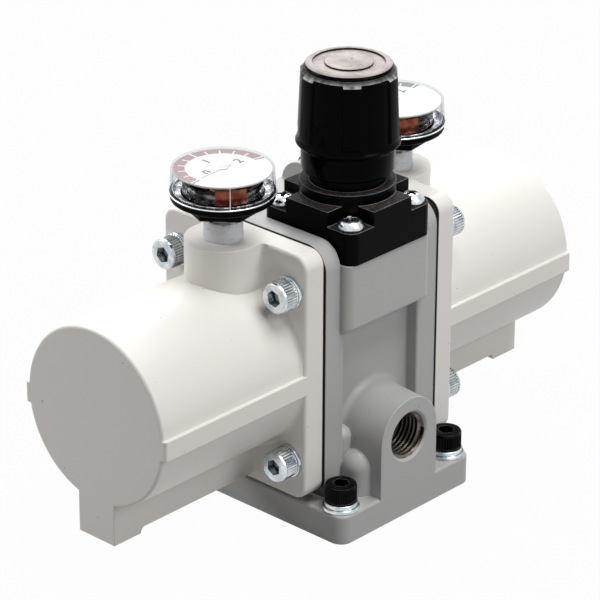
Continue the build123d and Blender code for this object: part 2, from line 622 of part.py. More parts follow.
def gasket():
    """The thin gasket between the body and the +X cover."""
    low_z = AXIS_Z - COVER_FLANGE_HALF_Z + GASKET_INSET
    high_z = AXIS_Z + COVER_FLANGE_HALF_Z - GASKET_INSET
    plate = flange_plate(
        COVER_FLANGE_HALF_Y - GASKET_INSET, low_z, high_z, COVER_FLANGE_CORNER_R, COVER_FLANGE_CORNER_R,
        BODY_HALF_X, COVER_FACE_X,
    )
    plate -= rod_x(BORE_R, BODY_HALF_X - 1, COVER_FACE_X + 1, 0, AXIS_Z)
    plate -= rod_x(GAUGE_PASSAGE_R, BODY_HALF_X - 1, COVER_FACE_X + 1, 0, GAUGE_PASSAGE_Z)
    for y, z in COVER_SCREWS:
        plate -= rod_x(M5_CLEARANCE_R, BODY_HALF_X - 1, COVER_FACE_X + 1, y, z)
    return plate


def socket_screw(length):
    """An M5 socket head cap screw along Z, with its head resting on z = 0."""
    head = rod_z(M5_HEAD_R, 0, M5_HEAD_HEIGHT)
    head = chamfer(head.edges().sort_by(Axis.Z)[-1], M5_HEAD_R / 12)
    socket = hexagon(M5_SOCKET_ACROSS, M5_HEAD_HEIGHT - M5_SOCKET_DEPTH, M5_HEAD_HEIGHT + 1)
    return head + rod_z(M5_R, -length, 0) - socket


def pan_screw():
    """An M4 pan head screw along Z with a cross recess, resting on z = 0."""
    head = rod_z(M4_HEAD_R, 0, M4_HEAD_HEIGHT)
    head = chamfer(head.edges().sort_by(Axis.Z)[-1], M4_HEAD_SLOPE) + rod_z(M4_R, -M4_LENGTH, 0)
    for x, y in ((M4_CROSS_HALF, M4_CROSS_ARM_HALF), (M4_CROSS_ARM_HALF, M4_CROSS_HALF)):
        head -= block(-x, x, -y, y, M4_HEAD_HEIGHT - M4_CROSS_DEPTH, M4_HEAD_HEIGHT + 1)
    return head


def split_washer():
    """An M5 spring washer on z = 0, with its split."""
    thickness = M5_SPRING_WASHER_THICKNESS
    ring = tube_z(M5_SPRING_WASHER_R, M5_WASHER_HOLE_R, 0, thickness)
    half = SPLIT_WIDTH / 2
    return ring - block(0, M5_SPRING_WASHER_R + 1, -half, half, -1, thickness + 1)


def at_cover_screws(piece, x):
    """Copies of a piece at the eight cover screws, standing on planes at plus and minus x."""
    copies = []
    for side in (-1, 1):
        for y, z in COVER_SCREWS:
            copies.append(Pos(side * x, y, z) * Rot(0, side * 90, 0) * piece)
    return copies


def at_base_screws(piece, z):
    """Copies of a piece at the four base screws, standing at height z."""
    return [Pos(x, y, z) * piece for x, y in BASE_SCREWS]


def fasteners():
    """All screws and washers, one group for each kind."""
    return {
        "cover_screws": at_cover_screws(socket_screw(COVER_SCREW_LENGTH), COVER_SCREW_HEAD_X),
        "cover_spring_washers": at_cover_screws(split_washer(), COVER_FLANGE_X),
        "base_screws": at_base_screws(socket_screw(BASE_SCREW_LENGTH), BASE_SCREW_HEAD_Z),
        "base_spring_washers": at_base_screws(split_washer(), BASE_THICKNESS + M5_FLAT_WASHER_THICKNESS),
        "base_flat_washers": at_base_screws(
            tube_z(M5_FLAT_WASHER_R, M5_WASHER_HOLE_R, 0, M5_FLAT_WASHER_THICKNESS), BASE_THICKNESS
        ),
        "bonnet_screws": [Pos(x, y, BONNET_LEDGE_Z) * pan_screw() for x, y in BONNET_SCREWS],
    }


def piston():
    """A piston on the +X side, with its seal groove, rod hole and nut recess."""
    y, z = 0, AXIS_Z
    shape = rod_x(PISTON_R, PISTON_INNER_X, PISTON_OUTER_X, y, z)
    middle = (PISTON_INNER_X + PISTON_OUTER_X) / 2
    shape -= tube_x(PISTON_R + 1, BORE_R - SEAL_DEPTH, middle - SEAL_WIDTH / 2, middle + SEAL_WIDTH / 2, y, z)
    shape -= rod_x(ROD_END_R + SEATED_FIT, PISTON_INNER_X - 1, PISTON_OUTER_X + 1, y, z)
    recess_r = NUT_ACROSS / math.sqrt(3) + FREE_GAP
    return shape - rod_x(recess_r, PISTON_OUTER_X - NUT_RECESS_DEPTH, PISTON_OUTER_X + 1, y, z)


def piston_seal():
    """The seal of the +X piston, a running fit in the bore."""
    middle = (PISTON_INNER_X + PISTON_OUTER_X) / 2
    half = SEAL_WIDTH / 2 - SEATED_FIT
    return tube_x(BORE_R - RUNNING_FIT, BORE_R - SEAL_DEPTH, middle - half, middle + half, 0, AXIS_Z)


def piston_rod():
    """The rod with a threaded end through each piston."""
    half_length = PISTON_OUTER_X - END_GAP
    rod = rod_x(ROD_R, -PISTON_INNER_X, PISTON_INNER_X, 0, AXIS_Z)
    return rod + rod_x(ROD_END_R, -half_length, half_length, 0, AXIS_Z)


def piston_nuts():
    """The two nuts that hold the pistons on the rod."""
    floor_x = PISTON_OUTER_X - NUT_RECESS_DEPTH
    nut = hexagon(NUT_ACROSS, 0, NUT_THICKNESS) - rod_z(ROD_END_R + SEATED_FIT, -1, NUT_THICKNESS + 1)
    return [Pos(side * floor_x, 0, AXIS_Z) * Rot(0, side * 90, 0) * nut for side in (-1, 1)]


def rod_guides():
    """The rod's bush, its two seals and the two retaining rings, all fixed in the body."""
    inner = ROD_R + RUNNING_FIT
    outer = ROD_BORE_R - SEATED_FIT
    seal_x = BUSH_HALF_LENGTH + ROD_SEAL_WIDTH
    seal = tube_x(outer, inner, BUSH_HALF_LENGTH, seal_x, 0, AXIS_Z)
    ring_end_x = seal_x + RETAINER_THICKNESS
    ring = tube_x(ROD_BORE_R + RETAINER_DEPTH, ROD_R + 2 * RETAINER_DEPTH, seal_x, ring_end_x, 0, AXIS_Z)
    ring -= block(seal_x - 1, ring_end_x + 1, -ROD_R / 4, ROD_R / 4, AXIS_Z, AXIS_Z + 2 * ROD_BORE_R)
    return {
        "rod_bush": [tube_x(outer, inner, -BUSH_HALF_LENGTH, BUSH_HALF_LENGTH, 0, AXIS_Z)],
        "rod_seals": [on_side(side, seal) for side in (-1, 1)],
        "seal_retainers": [on_side(side, ring) for side in (-1, 1)],
    }


def changeover_valve():
    """The spool, its ported sleeve, the push rods and the guides that hold them."""
    bore_r = SPOOL_R + RUNNING_FIT
    sleeve = tube_x(SLEEVE_R, bore_r, -SLEEVE_HALF_LENGTH, SLEEVE_HALF_LENGTH, SPOOL_Y, SPOOL_Z)
    port = rod_z(SLEEVE_PORT_R, SPOOL_Z - SLEEVE_R - 1, SPOOL_Z, 0, SPOOL_Y)
    for step in range(-2, 3):
        sleeve -= Pos(step * SLEEVE_PORT_PITCH, 0, 0) * port
    spool = rod_x(SPOOL_R, -SPOOL_HALF_LENGTH, SPOOL_HALF_LENGTH, SPOOL_Y, SPOOL_Z)
    for centre in (-SLEEVE_PORT_PITCH, SLEEVE_PORT_PITCH):
        half = SLEEVE_PORT_PITCH / 3
        spool -= tube_x(SPOOL_R + 1, SPOOL_GROOVE_R, centre - half, centre + half, SPOOL_Y, SPOOL_Z)
    guide = tube_x(SLEEVE_R, PUSH_ROD_R + RUNNING_FIT, SLEEVE_HALF_LENGTH, BODY_HALF_X, SPOOL_Y, SPOOL_Z)
    head_room = SLEEVE_HALF_LENGTH + FREE_GAP + PUSH_ROD_HEAD_LENGTH
    guide -= rod_x(bore_r, SLEEVE_HALF_LENGTH - 1, head_room + END_GAP, SPOOL_Y, SPOOL_Z)
    inner_x = SLEEVE_HALF_LENGTH + FREE_GAP
    push_rod = rod_x(PUSH_ROD_R, inner_x, BODY_HALF_X + PUSH_ROD_PROUD, SPOOL_Y, SPOOL_Z)
    push_rod += rod_x(PUSH_ROD_HEAD_R, inner_x, head_room, SPOOL_Y, SPOOL_Z)
    return {
        "spool_sleeve": [sleeve],
        "changeover_spool": [spool],
        "push_rod_guides": [on_side(side, guide) for side in (-1, 1)],
        "left_push_rod": [on_side(-1, push_rod)],
        "right_push_rod": [on_side(1, push_rod)],
    }


def poppet(seat_x, stem_x, y, z):
    """A check valve poppet: a disc that starts at seat_x and a flat-sided stem that ends at stem_x."""
    disc_end = seat_x + POPPET_THICKNESS
    stem = rod_x(POPPET_STEM_R, disc_end, stem_x, y, z)
    stem &= block(disc_end, stem_x, y - POPPET_FLAT / 2, y + POPPET_FLAT / 2, z - POPPET_R, z + POPPET_R)
    return rod_x(POPPET_R, seat_x, disc_end, y, z) + stem


def check_valves():
    """Four poppets with the retainers and seats that close their pockets."""
    outer_r = POCKET_R - SEATED_FIT
    hole_r = POPPET_STEM_R + RUNNING_FIT
    inlet_floor = BODY_HALF_X - INLET_POCKET_DEPTH
    inlet_stop = inlet_floor + POPPET_THICKNESS + POPPET_TRAVEL + POPPET_STOP_GAP
    retainer = tube_x(outer_r, hole_r, inlet_stop, BODY_HALF_X, INLET_Y, INLET_Z)
    inlet = poppet(inlet_floor, BODY_HALF_X - POPPET_TRAVEL - POPPET_STOP_GAP, INLET_Y, INLET_Z)
    outlet_seat_x = BODY_HALF_X - OUTLET_SEAT_THICKNESS
    seat = tube_x(outer_r, hole_r, outlet_seat_x, BODY_HALF_X, OUTLET_Y, OUTLET_Z)
    outlet = poppet(outlet_seat_x - POPPET_THICKNESS, BODY_HALF_X - POPPET_STOP_GAP, OUTLET_Y, OUTLET_Z)
    return {
        "inlet_valve_retainers": [on_side(side, retainer) for side in (-1, 1)],
        "outlet_valve_seats": [on_side(side, seat) for side in (-1, 1)],
        "left_inlet_poppet": [on_side(-1, inlet)],
        "right_inlet_poppet": [on_side(1, inlet)],
        "left_outlet_poppet": [on_side(-1, outlet)],
        "right_outlet_poppet": [on_side(1, outlet)],
    }


def bonnet():
    """The black bonnet: notched square base, round collar, neck and spring chamber."""
    y = GOVERNOR_Y
    square = Pos(0, y, DECK_Z) * extrude(
        RectangleRounded(2 * BONNET_HALF, 2 * BONNET_HALF, BONNET_CORNER_R), BONNET_TOP_Z - DECK_Z
    )
    inner = BONNET_HALF - BONNET_NOTCH
    for sx in (-1, 1):
        for sy in (-1, 1):
            x0, x1 = sorted((sx * inner, sx * (BONNET_HALF + 1)))
            y0, y1 = sorted((sy * inner, sy * (BONNET_HALF + 1)))
            square -= block(x0, x1, y + y0, y + y1, BONNET_LEDGE_Z, BONNET_TOP_Z + 1)
    shape = square + rod_z(COLLAR_R, BONNET_LEDGE_Z - 1, COLLAR_TOP_Z, 0, y)
    shape += rod_z(NECK_R, COLLAR_TOP_Z - 1, NECK_TOP_Z, 0, y)
    shape -= rod_z(DIAPHRAGM_R + SEATED_FIT, DECK_Z - 1, DIAPHRAGM_TOP_Z, 0, y)
    shape -= rod_z(DIAPHRAGM_FREE_R, DECK_Z, DIAPHRAGM_TOP_Z + UPPER_CHAMBER_HEIGHT, 0, y)
    shape -= rod_z(SPRING_CHAMBER_R, DECK_Z, CEILING_Z, 0, y)
    shape -= rod_z(SCREW_THREAD_R + RUNNING_FIT, CEILING_Z - 1, NECK_TOP_Z + 1, 0, y)
    key_half = SEAT_KEY_WIDTH / 2 + FREE_GAP / 3
    key_r = SEAT_KEY_R + FREE_GAP
    shape -= block(-key_r, key_r, y - key_half, y + key_half, DECK_Z, CEILING_Z)
    for x, screw_y in BONNET_SCREWS:
        shape -= rod_z(M4_R + 2 * SEATED_FIT, DECK_Z - 1, BONNET_LEDGE_Z + 1, x, screw_y)
    return shape


def knob():
    """The knob: skirt, rim, tapered barrel with six lands, grooved top and hexagon socket."""
    y = GOVERNOR_Y
    inner_r = NECK_R + FREE_GAP
    barrel_z = KNOB_RIM_Z + KNOB_RIM_SLOPE
    rim_half = KNOB_RIM_THICKNESS / 2
    dome_z = KNOB_TOP_Z - KNOB_DOME_EDGE
    shape = turned([
        (0, KNOB_BOTTOM_Z), (KNOB_SKIRT_R - KNOB_SKIRT_TURN, KNOB_BOTTOM_Z),
        (KNOB_SKIRT_R, KNOB_BOTTOM_Z + KNOB_SKIRT_TURN), (KNOB_SKIRT_R, KNOB_RIM_Z - KNOB_SKIRT_TURN),
        (KNOB_RIM_R, KNOB_RIM_Z - rim_half), (KNOB_RIM_R, KNOB_RIM_Z + rim_half),
        (KNOB_BARREL_LOW_R, barrel_z), (KNOB_BARREL_HIGH_R, KNOB_SHOULDER_Z), (KNOB_DOME_R, dome_z),
        (KNOB_DOME_R - KNOB_DOME_EDGE, KNOB_TOP_Z), (0, KNOB_TOP_Z),
    ])
    envelope = turned([
        (0, barrel_z), (KNOB_BARREL_LOW_R + KNOB_LAND_PROUD, barrel_z),
        (KNOB_BARREL_HIGH_R + KNOB_LAND_PROUD, KNOB_SHOULDER_Z - KNOB_LAND_PROUD),
        (KNOB_BARREL_HIGH_R, KNOB_SHOULDER_Z), (0, KNOB_SHOULDER_Z),
    ])
    half = KNOB_LAND_WIDTH / 2
    land = block(KNOB_DOME_R - KNOB_DOME_EDGE, KNOB_RIM_R, -half, half, barrel_z, KNOB_SHOULDER_Z + 1)
    for step in range(KNOB_LAND_COUNT):
        shape += Rot(0, 0, KNOB_LAND_ANGLE + 360 * step / KNOB_LAND_COUNT) * land & envelope
    shape -= tube_z(KNOB_GROOVE_OUTER_R, KNOB_GROOVE_INNER_R, KNOB_TOP_Z - KNOB_GROOVE_DEPTH, KNOB_TOP_Z + 1)
    shape -= rod_z(inner_r, KNOB_BOTTOM_Z - 1, NECK_TOP_Z + KNOB_NECK_GAP)
    shape -= tube_z(inner_r, KNOB_BOSS_R, NECK_TOP_Z, KNOB_CAVITY_TOP_Z)
    socket_across = SCREW_HEX_ACROSS + 2 * KNOB_HEX_CLEARANCE
    shape -= hexagon(socket_across, NECK_TOP_Z, NECK_TOP_Z + SCREW_HEX_LENGTH + 2 * KNOB_NECK_GAP)
    return Pos(0, y, 0) * shape


def coil(radius, wire, low_z, high_z, turns, y):
    """A coil spring of square wire between two heights."""
    height = high_z - low_z - wire
    path = Helix(height / turns, height, radius)
    start = Plane(origin=path @ 0, z_dir=path % 0, x_dir=(1, 0, 0))
    section = start * Rectangle(wire, wire)
    wound = sweep(section, path=path, is_frenet=True)
    return Pos(0, y, low_z + wire / 2) * wound


def governor():
    """The governor's inner pieces, from the adjusting screw down to the valve."""
    y = GOVERNOR_Y
    hex_top_z = NECK_TOP_Z + SCREW_HEX_LENGTH
    collar_top_z = CEILING_Z - 2 * SEATED_FIT
    screw = hexagon(SCREW_HEX_ACROSS, NECK_TOP_Z, hex_top_z, 0, y)
    screw += rod_z(SCREW_THREAD_R, CEILING_Z - 1, NECK_TOP_Z, 0, y)
    screw += rod_z(SCREW_COLLAR_R, collar_top_z - SCREW_COLLAR_THICKNESS, collar_top_z, 0, y)
    screw += rod_z(SCREW_THREAD_R - RUNNING_FIT, SCREW_BOTTOM_Z, collar_top_z, 0, y)
    seat_top_z = SEAT_BOTTOM_Z + SEAT_THICKNESS
    seat = rod_z(SPRING_CHAMBER_R - FREE_GAP, SEAT_BOTTOM_Z, seat_top_z, 0, y)
    key_half = SEAT_KEY_WIDTH / 2
    seat += block(-SEAT_KEY_R, SEAT_KEY_R, y - key_half, y + key_half, SEAT_BOTTOM_Z, seat_top_z)
    seat -= rod_z(SCREW_THREAD_R, SEAT_BOTTOM_Z - 1, seat_top_z + 1, 0, y)
    plate = rod_z(PLATE_R, DIAPHRAGM_TOP_Z, PLATE_TOP_Z, 0, y)
    plate += rod_z(PLATE_PIN_R, DIAPHRAGM_TOP_Z - PLATE_PIN_LENGTH, DIAPHRAGM_TOP_Z, 0, y)
    stem_top_z = DIAPHRAGM_TOP_Z - PLATE_PIN_LENGTH - VALVE_STEM_GAP
    guide_end_z = VALVE_CHAMBER_BOTTOM_Z - VALVE_GUIDE_DEPTH + VALVE_TRAVEL + END_GAP
    valve = rod_z(VALVE_R, VALVE_LOW_Z, VALVE_TOP_Z, 0, y)
    valve += rod_z(VALVE_STEM_R, VALVE_TOP_Z, stem_top_z, 0, y)
    valve += rod_z(VALVE_GUIDE_R, guide_end_z, VALVE_LOW_Z, 0, y)
    seat_r = VALVE_CHAMBER_R - SEATED_FIT
    valve_seat = tube_z(seat_r, VALVE_SEAT_HOLE_R, VALVE_TOP_Z, VALVE_SEAT_TOP_Z, 0, y)
    spring = coil(
        ADJUSTING_SPRING_R, ADJUSTING_SPRING_WIRE, PLATE_TOP_Z, SEAT_BOTTOM_Z, ADJUSTING_SPRING_TURNS, y
    )
    valve_spring = coil(
        VALVE_SPRING_R, VALVE_SPRING_WIRE, VALVE_CHAMBER_BOTTOM_Z, VALVE_LOW_Z, VALVE_SPRING_TURNS, y
    )
    return {
        "adjusting_screw": [screw],
        "spring_seat": [seat],
        "adjusting_spring": [spring],
        "diaphragm": [tube_z(DIAPHRAGM_R, DIAPHRAGM_HOLE_R, DECK_Z, DIAPHRAGM_TOP_Z, 0, y)],
        "diaphragm_plate": [plate],
        "valve_seat": [valve_seat],
        "governor_valve": [valve],
        "governor_valve_spring": [valve_spring],
    }


def gauge_stem():
    """The gauge's threaded stem, on the gauge's own axis."""
    boss_top = AXIS_Z + COVER_FLANGE_HALF_Z
    return rod_z(GAUGE_STEM_R, boss_top - GAUGE_STEM_DEPTH, GAUGE_HEX_Z)


def thread_tape():
    """The tape wrapped on the stem above the boss."""
    return tube_z(GAUGE_STEM_R + TAPE_THICKNESS, GAUGE_STEM_R, AXIS_Z + COVER_FLANGE_HALF_Z, GAUGE_HEX_Z)


def gauge_case():
    """The black case: a hexagon under a shallow round pan."""
    pan = turned([
        (0, GAUGE_CASE_Z), (CASE_R - CASE_CHAMFER, GAUGE_CASE_Z),
        (CASE_R, GAUGE_CASE_Z + CASE_CHAMFER), (CASE_R, CASE_TOP_Z), (0, CASE_TOP_Z),
    ])
    return pan + hexagon(GAUGE_HEX_ACROSS, GAUGE_HEX_Z, GAUGE_CASE_Z, angle=GAUGE_HEX_ANGLE)


def gauge_ring():
    """The bright ring between case and lens."""
    return tube_z(GAUGE_RING_R, GAUGE_RING_R - GAUGE_RING_WIDTH, CASE_TOP_Z, RING_TOP_Z)


def gauge_lens():
    """The clear, slightly tapered lens."""
    outside = turned([
        (0, RING_TOP_Z), (LENS_LOW_R, RING_TOP_Z), (LENS_HIGH_R, LENS_TOP_Z - LENS_EDGE_R),
        (LENS_HIGH_R - LENS_EDGE_R, LENS_TOP_Z), (0, LENS_TOP_Z),
    ])
    inside = turned([
        (0, RING_TOP_Z - 1), (LENS_LOW_R - LENS_WALL, RING_TOP_Z - 1),
        (LENS_LOW_R - LENS_WALL, RING_TOP_Z), (LENS_HIGH_R - LENS_WALL, LENS_TOP_Z - LENS_WALL),
        (0, LENS_TOP_Z - LENS_WALL),
    ])
    return outside - inside


def gauge_dial():
    """The flat dial, pierced for the pointer's shaft."""
    return tube_z(DIAL_R, POINTER_SHAFT_R + FREE_GAP, DIAL_LOW_Z, DIAL_TOP_Z)


def gauge_pointer():
    """The pointer with its hub and shaft, pointing along +X."""
    low = DIAL_TOP_Z + POINTER_LIFT
    half = POINTER_WIDTH / 2
    outline = Polyline(
        (-POINTER_TAIL, -half), (0, -half), (POINTER_LENGTH, -half / 5), (POINTER_LENGTH, half / 5),
        (0, half), (-POINTER_TAIL, half), close=True,
    )
    shape = Pos(0, 0, low) * extrude(make_face(outline), POINTER_THICKNESS)
    shape += rod_z(POINTER_HUB_R, low, low + POINTER_THICKNESS)
    return shape + rod_z(POINTER_SHAFT_R, DIAL_LOW_Z - FREE_GAP, low)


def bourdon_tube():
    """The curved pressure tube round the movement, open at one side, with its socket."""
    ring = tube_z(TUBE_R + TUBE_WIDTH / 2, TUBE_R - TUBE_WIDTH / 2, CASE_TOP_Z, CASE_TOP_Z + TUBE_HEIGHT)
    reach = TUBE_R + TUBE_WIDTH
    spread = reach * math.tan(math.radians((360 - TUBE_SWEEP) / 2))
    wedge = make_face(Polyline((0, 0), (reach, -spread), (reach, spread), close=True))
    return ring - Pos(0, 0, CASE_TOP_Z - 1) * extrude(wedge, TUBE_HEIGHT + 2)


def gauge_movement():
    """The movement's frame: a centre post and an arm, with a socket for the pointer's shaft."""
    top_z = DIAL_LOW_Z
    frame = rod_z(MOVEMENT_R, CASE_TOP_Z, top_z)
    arm_reach = TUBE_R - TUBE_WIDTH / 2 - FREE_GAP
    half = MOVEMENT_ARM_WIDTH / 2
    frame += block(0, arm_reach, -half, half, CASE_TOP_Z, CASE_TOP_Z + TUBE_HEIGHT)
    return frame - rod_z(POINTER_SHAFT_R + FREE_GAP, top_z - 2 * FREE_GAP, top_z + 1)


def gauges():
    """Both gauges; the pointer of each starts from its own zero."""
    pieces = {}
    for side, name, zero in ((-1, "left", POINTER_ANGLES[0]), (1, "right", POINTER_ANGLES[1])):
        place = Pos(side * GAUGE_X, 0, 0)
        pieces[f"{name}_gauge_stem"] = [place * gauge_stem()]
        pieces[f"{name}_thread_tape"] = [place * thread_tape()]
        pieces[f"{name}_gauge_case"] = [place * gauge_case()]
        pieces[f"{name}_gauge_ring"] = [place * gauge_ring()]
        pieces[f"{name}_gauge_lens"] = [place * gauge_lens()]
        pieces[f"{name}_gauge_dial"] = [place * gauge_dial()]
        pieces[f"{name}_gauge_pointer"] = [place * Rot(0, 0, zero) * gauge_pointer()]
        pieces[f"{name}_bourdon_tube"] = [place * bourdon_tube()]
        pieces[f"{name}_gauge_movement"] = [place * gauge_movement()]
    return pieces


def all_pieces():
    """Every node of the booster by name, each with its list of solids."""
    pieces = {"centre_body": [centre_body()]}
    for side, name in ((-1, "left"), (1, "right")):
        pieces[f"{name}_cylinder_cover"] = [on_side(side, cylinder_cover())]
        pieces[f"{name}_gasket"] = [on_side(side, gasket())]
        pieces[f"{name}_piston"] = [on_side(side, piston())]
        pieces[f"{name}_piston_seal"] = [on_side(side, piston_seal())]
    pieces["piston_rod"] = [piston_rod()]
    pieces["piston_nuts"] = piston_nuts()
    pieces.update(rod_guides())
    pieces.update(changeover_valve())
    pieces.update(check_valves())
    pieces["bonnet"] = [bonnet()]
    pieces["knob"] = [knob()]
    pieces.update(governor())
    pieces.update(gauges())
    pieces.update(fasteners())
    return pieces


def solids_of(parts):
    """The plain solids of a list of parts."""
    return [solid for part in parts for solid in part.solids()]


os.makedirs("parts", exist_ok=True)
for node, parts in all_pieces().items():
    export_step(Compound(solids_of(parts)), f"parts/{node}.step")
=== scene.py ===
"""The looks of an air pressure booster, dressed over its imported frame.

Two pale cylinder covers stand against a grey cast body, which carries a black bonnet, a setting knob
and two gauges. Lengths are millimetres, which the bench and the paint shop turn into metres. Only the
studio's floor and lamps are laid out in metres.
"""

import json
import logging
import math
from contextlib import contextmanager
from dataclasses import dataclass, field
from enum import Enum, auto
from functools import partial
from itertools import product
from typing import Callable, Iterator, Sequence, Union

import bmesh
import bpy
from mathutils import Matrix, Vector

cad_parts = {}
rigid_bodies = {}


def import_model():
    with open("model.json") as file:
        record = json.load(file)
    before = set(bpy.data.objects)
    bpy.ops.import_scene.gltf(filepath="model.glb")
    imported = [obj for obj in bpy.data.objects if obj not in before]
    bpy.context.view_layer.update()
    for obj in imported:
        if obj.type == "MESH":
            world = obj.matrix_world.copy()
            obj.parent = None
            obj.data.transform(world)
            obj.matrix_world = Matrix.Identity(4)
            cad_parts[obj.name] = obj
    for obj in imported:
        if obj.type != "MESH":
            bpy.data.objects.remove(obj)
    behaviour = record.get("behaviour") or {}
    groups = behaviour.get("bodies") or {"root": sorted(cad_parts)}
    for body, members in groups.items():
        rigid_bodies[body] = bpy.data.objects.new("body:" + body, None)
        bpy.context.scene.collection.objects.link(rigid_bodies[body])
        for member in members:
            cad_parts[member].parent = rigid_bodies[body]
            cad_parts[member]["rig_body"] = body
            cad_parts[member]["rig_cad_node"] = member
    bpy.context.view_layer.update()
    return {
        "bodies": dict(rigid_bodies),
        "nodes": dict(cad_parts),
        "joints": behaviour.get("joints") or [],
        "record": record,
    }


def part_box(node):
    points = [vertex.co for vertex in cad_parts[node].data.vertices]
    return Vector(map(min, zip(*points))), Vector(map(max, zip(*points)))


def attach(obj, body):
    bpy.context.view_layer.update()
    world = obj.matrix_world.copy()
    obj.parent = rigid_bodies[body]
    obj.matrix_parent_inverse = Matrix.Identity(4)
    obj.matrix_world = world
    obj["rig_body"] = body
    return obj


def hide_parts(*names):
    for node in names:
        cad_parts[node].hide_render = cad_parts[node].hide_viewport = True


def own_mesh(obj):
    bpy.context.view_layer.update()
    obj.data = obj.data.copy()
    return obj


LOG = logging.getLogger("booster")
MM = 0.001

# Distances under which vertices are welded and slivers dissolved.
WELD = 0.002 * MM
SLIVER = 0.0005 * MM

# The steps of a rounded edge, and angles in degrees past which an edge is rounded and a CAD copy creased.
EASE_STEPS = 2
SHARP_EDGE = 40.0
CAD_CREASE = 30.0

# The signs of X and Y at the corners of a square pattern.
CORNERS = ((-1, -1), (1, -1), (-1, 1), (1, 1))

Piece = bpy.types.Object
Outline = Sequence[tuple[float, float]]
Point = tuple[float, float, float]
Colour = tuple[float, float, float]
Pick = Callable[[object], bool]


class Element(Enum):
    """What edit mode selects."""

    VERT = "verts"
    FACE = "faces"


class Axis(Enum):
    """An axis and its number."""

    X = 0
    Y = 1
    Z = 2


class Slot(Enum):
    """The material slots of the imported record."""

    BODY_PAINT = "body_paint"
    COVER_PAINT = "cover_paint"
    GASKET = "gasket"
    ZINC_STEEL = "zinc_steel"
    BLACK_STEEL = "black_steel"
    STEEL = "steel"
    CHROME_ROD = "chrome_rod"
    ALUMINIUM = "aluminium"
    BRASS = "brass"
    SEAL_RUBBER = "seal_rubber"
    BLACK_PLASTIC = "black_plastic"
    SPRING_STEEL = "spring_steel"
    THREAD_TAPE = "thread_tape"
    LENS = "lens"
    DIAL = "dial"
    POINTER = "pointer"
    COPPER_TUBE = "copper_tube"


class Coat(Enum):
    """The finishes of pieces that don't take the one of their slot."""

    CUP_LINER = auto()
    DARK_TUBE = auto()
    LENS_SEAM = auto()
    KNOB_SKIN = auto()
    PORT_THREAD = auto()
    CASE_ENAMEL = auto()
    DARK_RING = auto()
    BRIGHT_RING = auto()
    LEFT_BAND = auto()
    RIGHT_BAND = auto()
    DIAL_INK = auto()
    DIAL_MARK = auto()
    LINK_ENAMEL = auto()


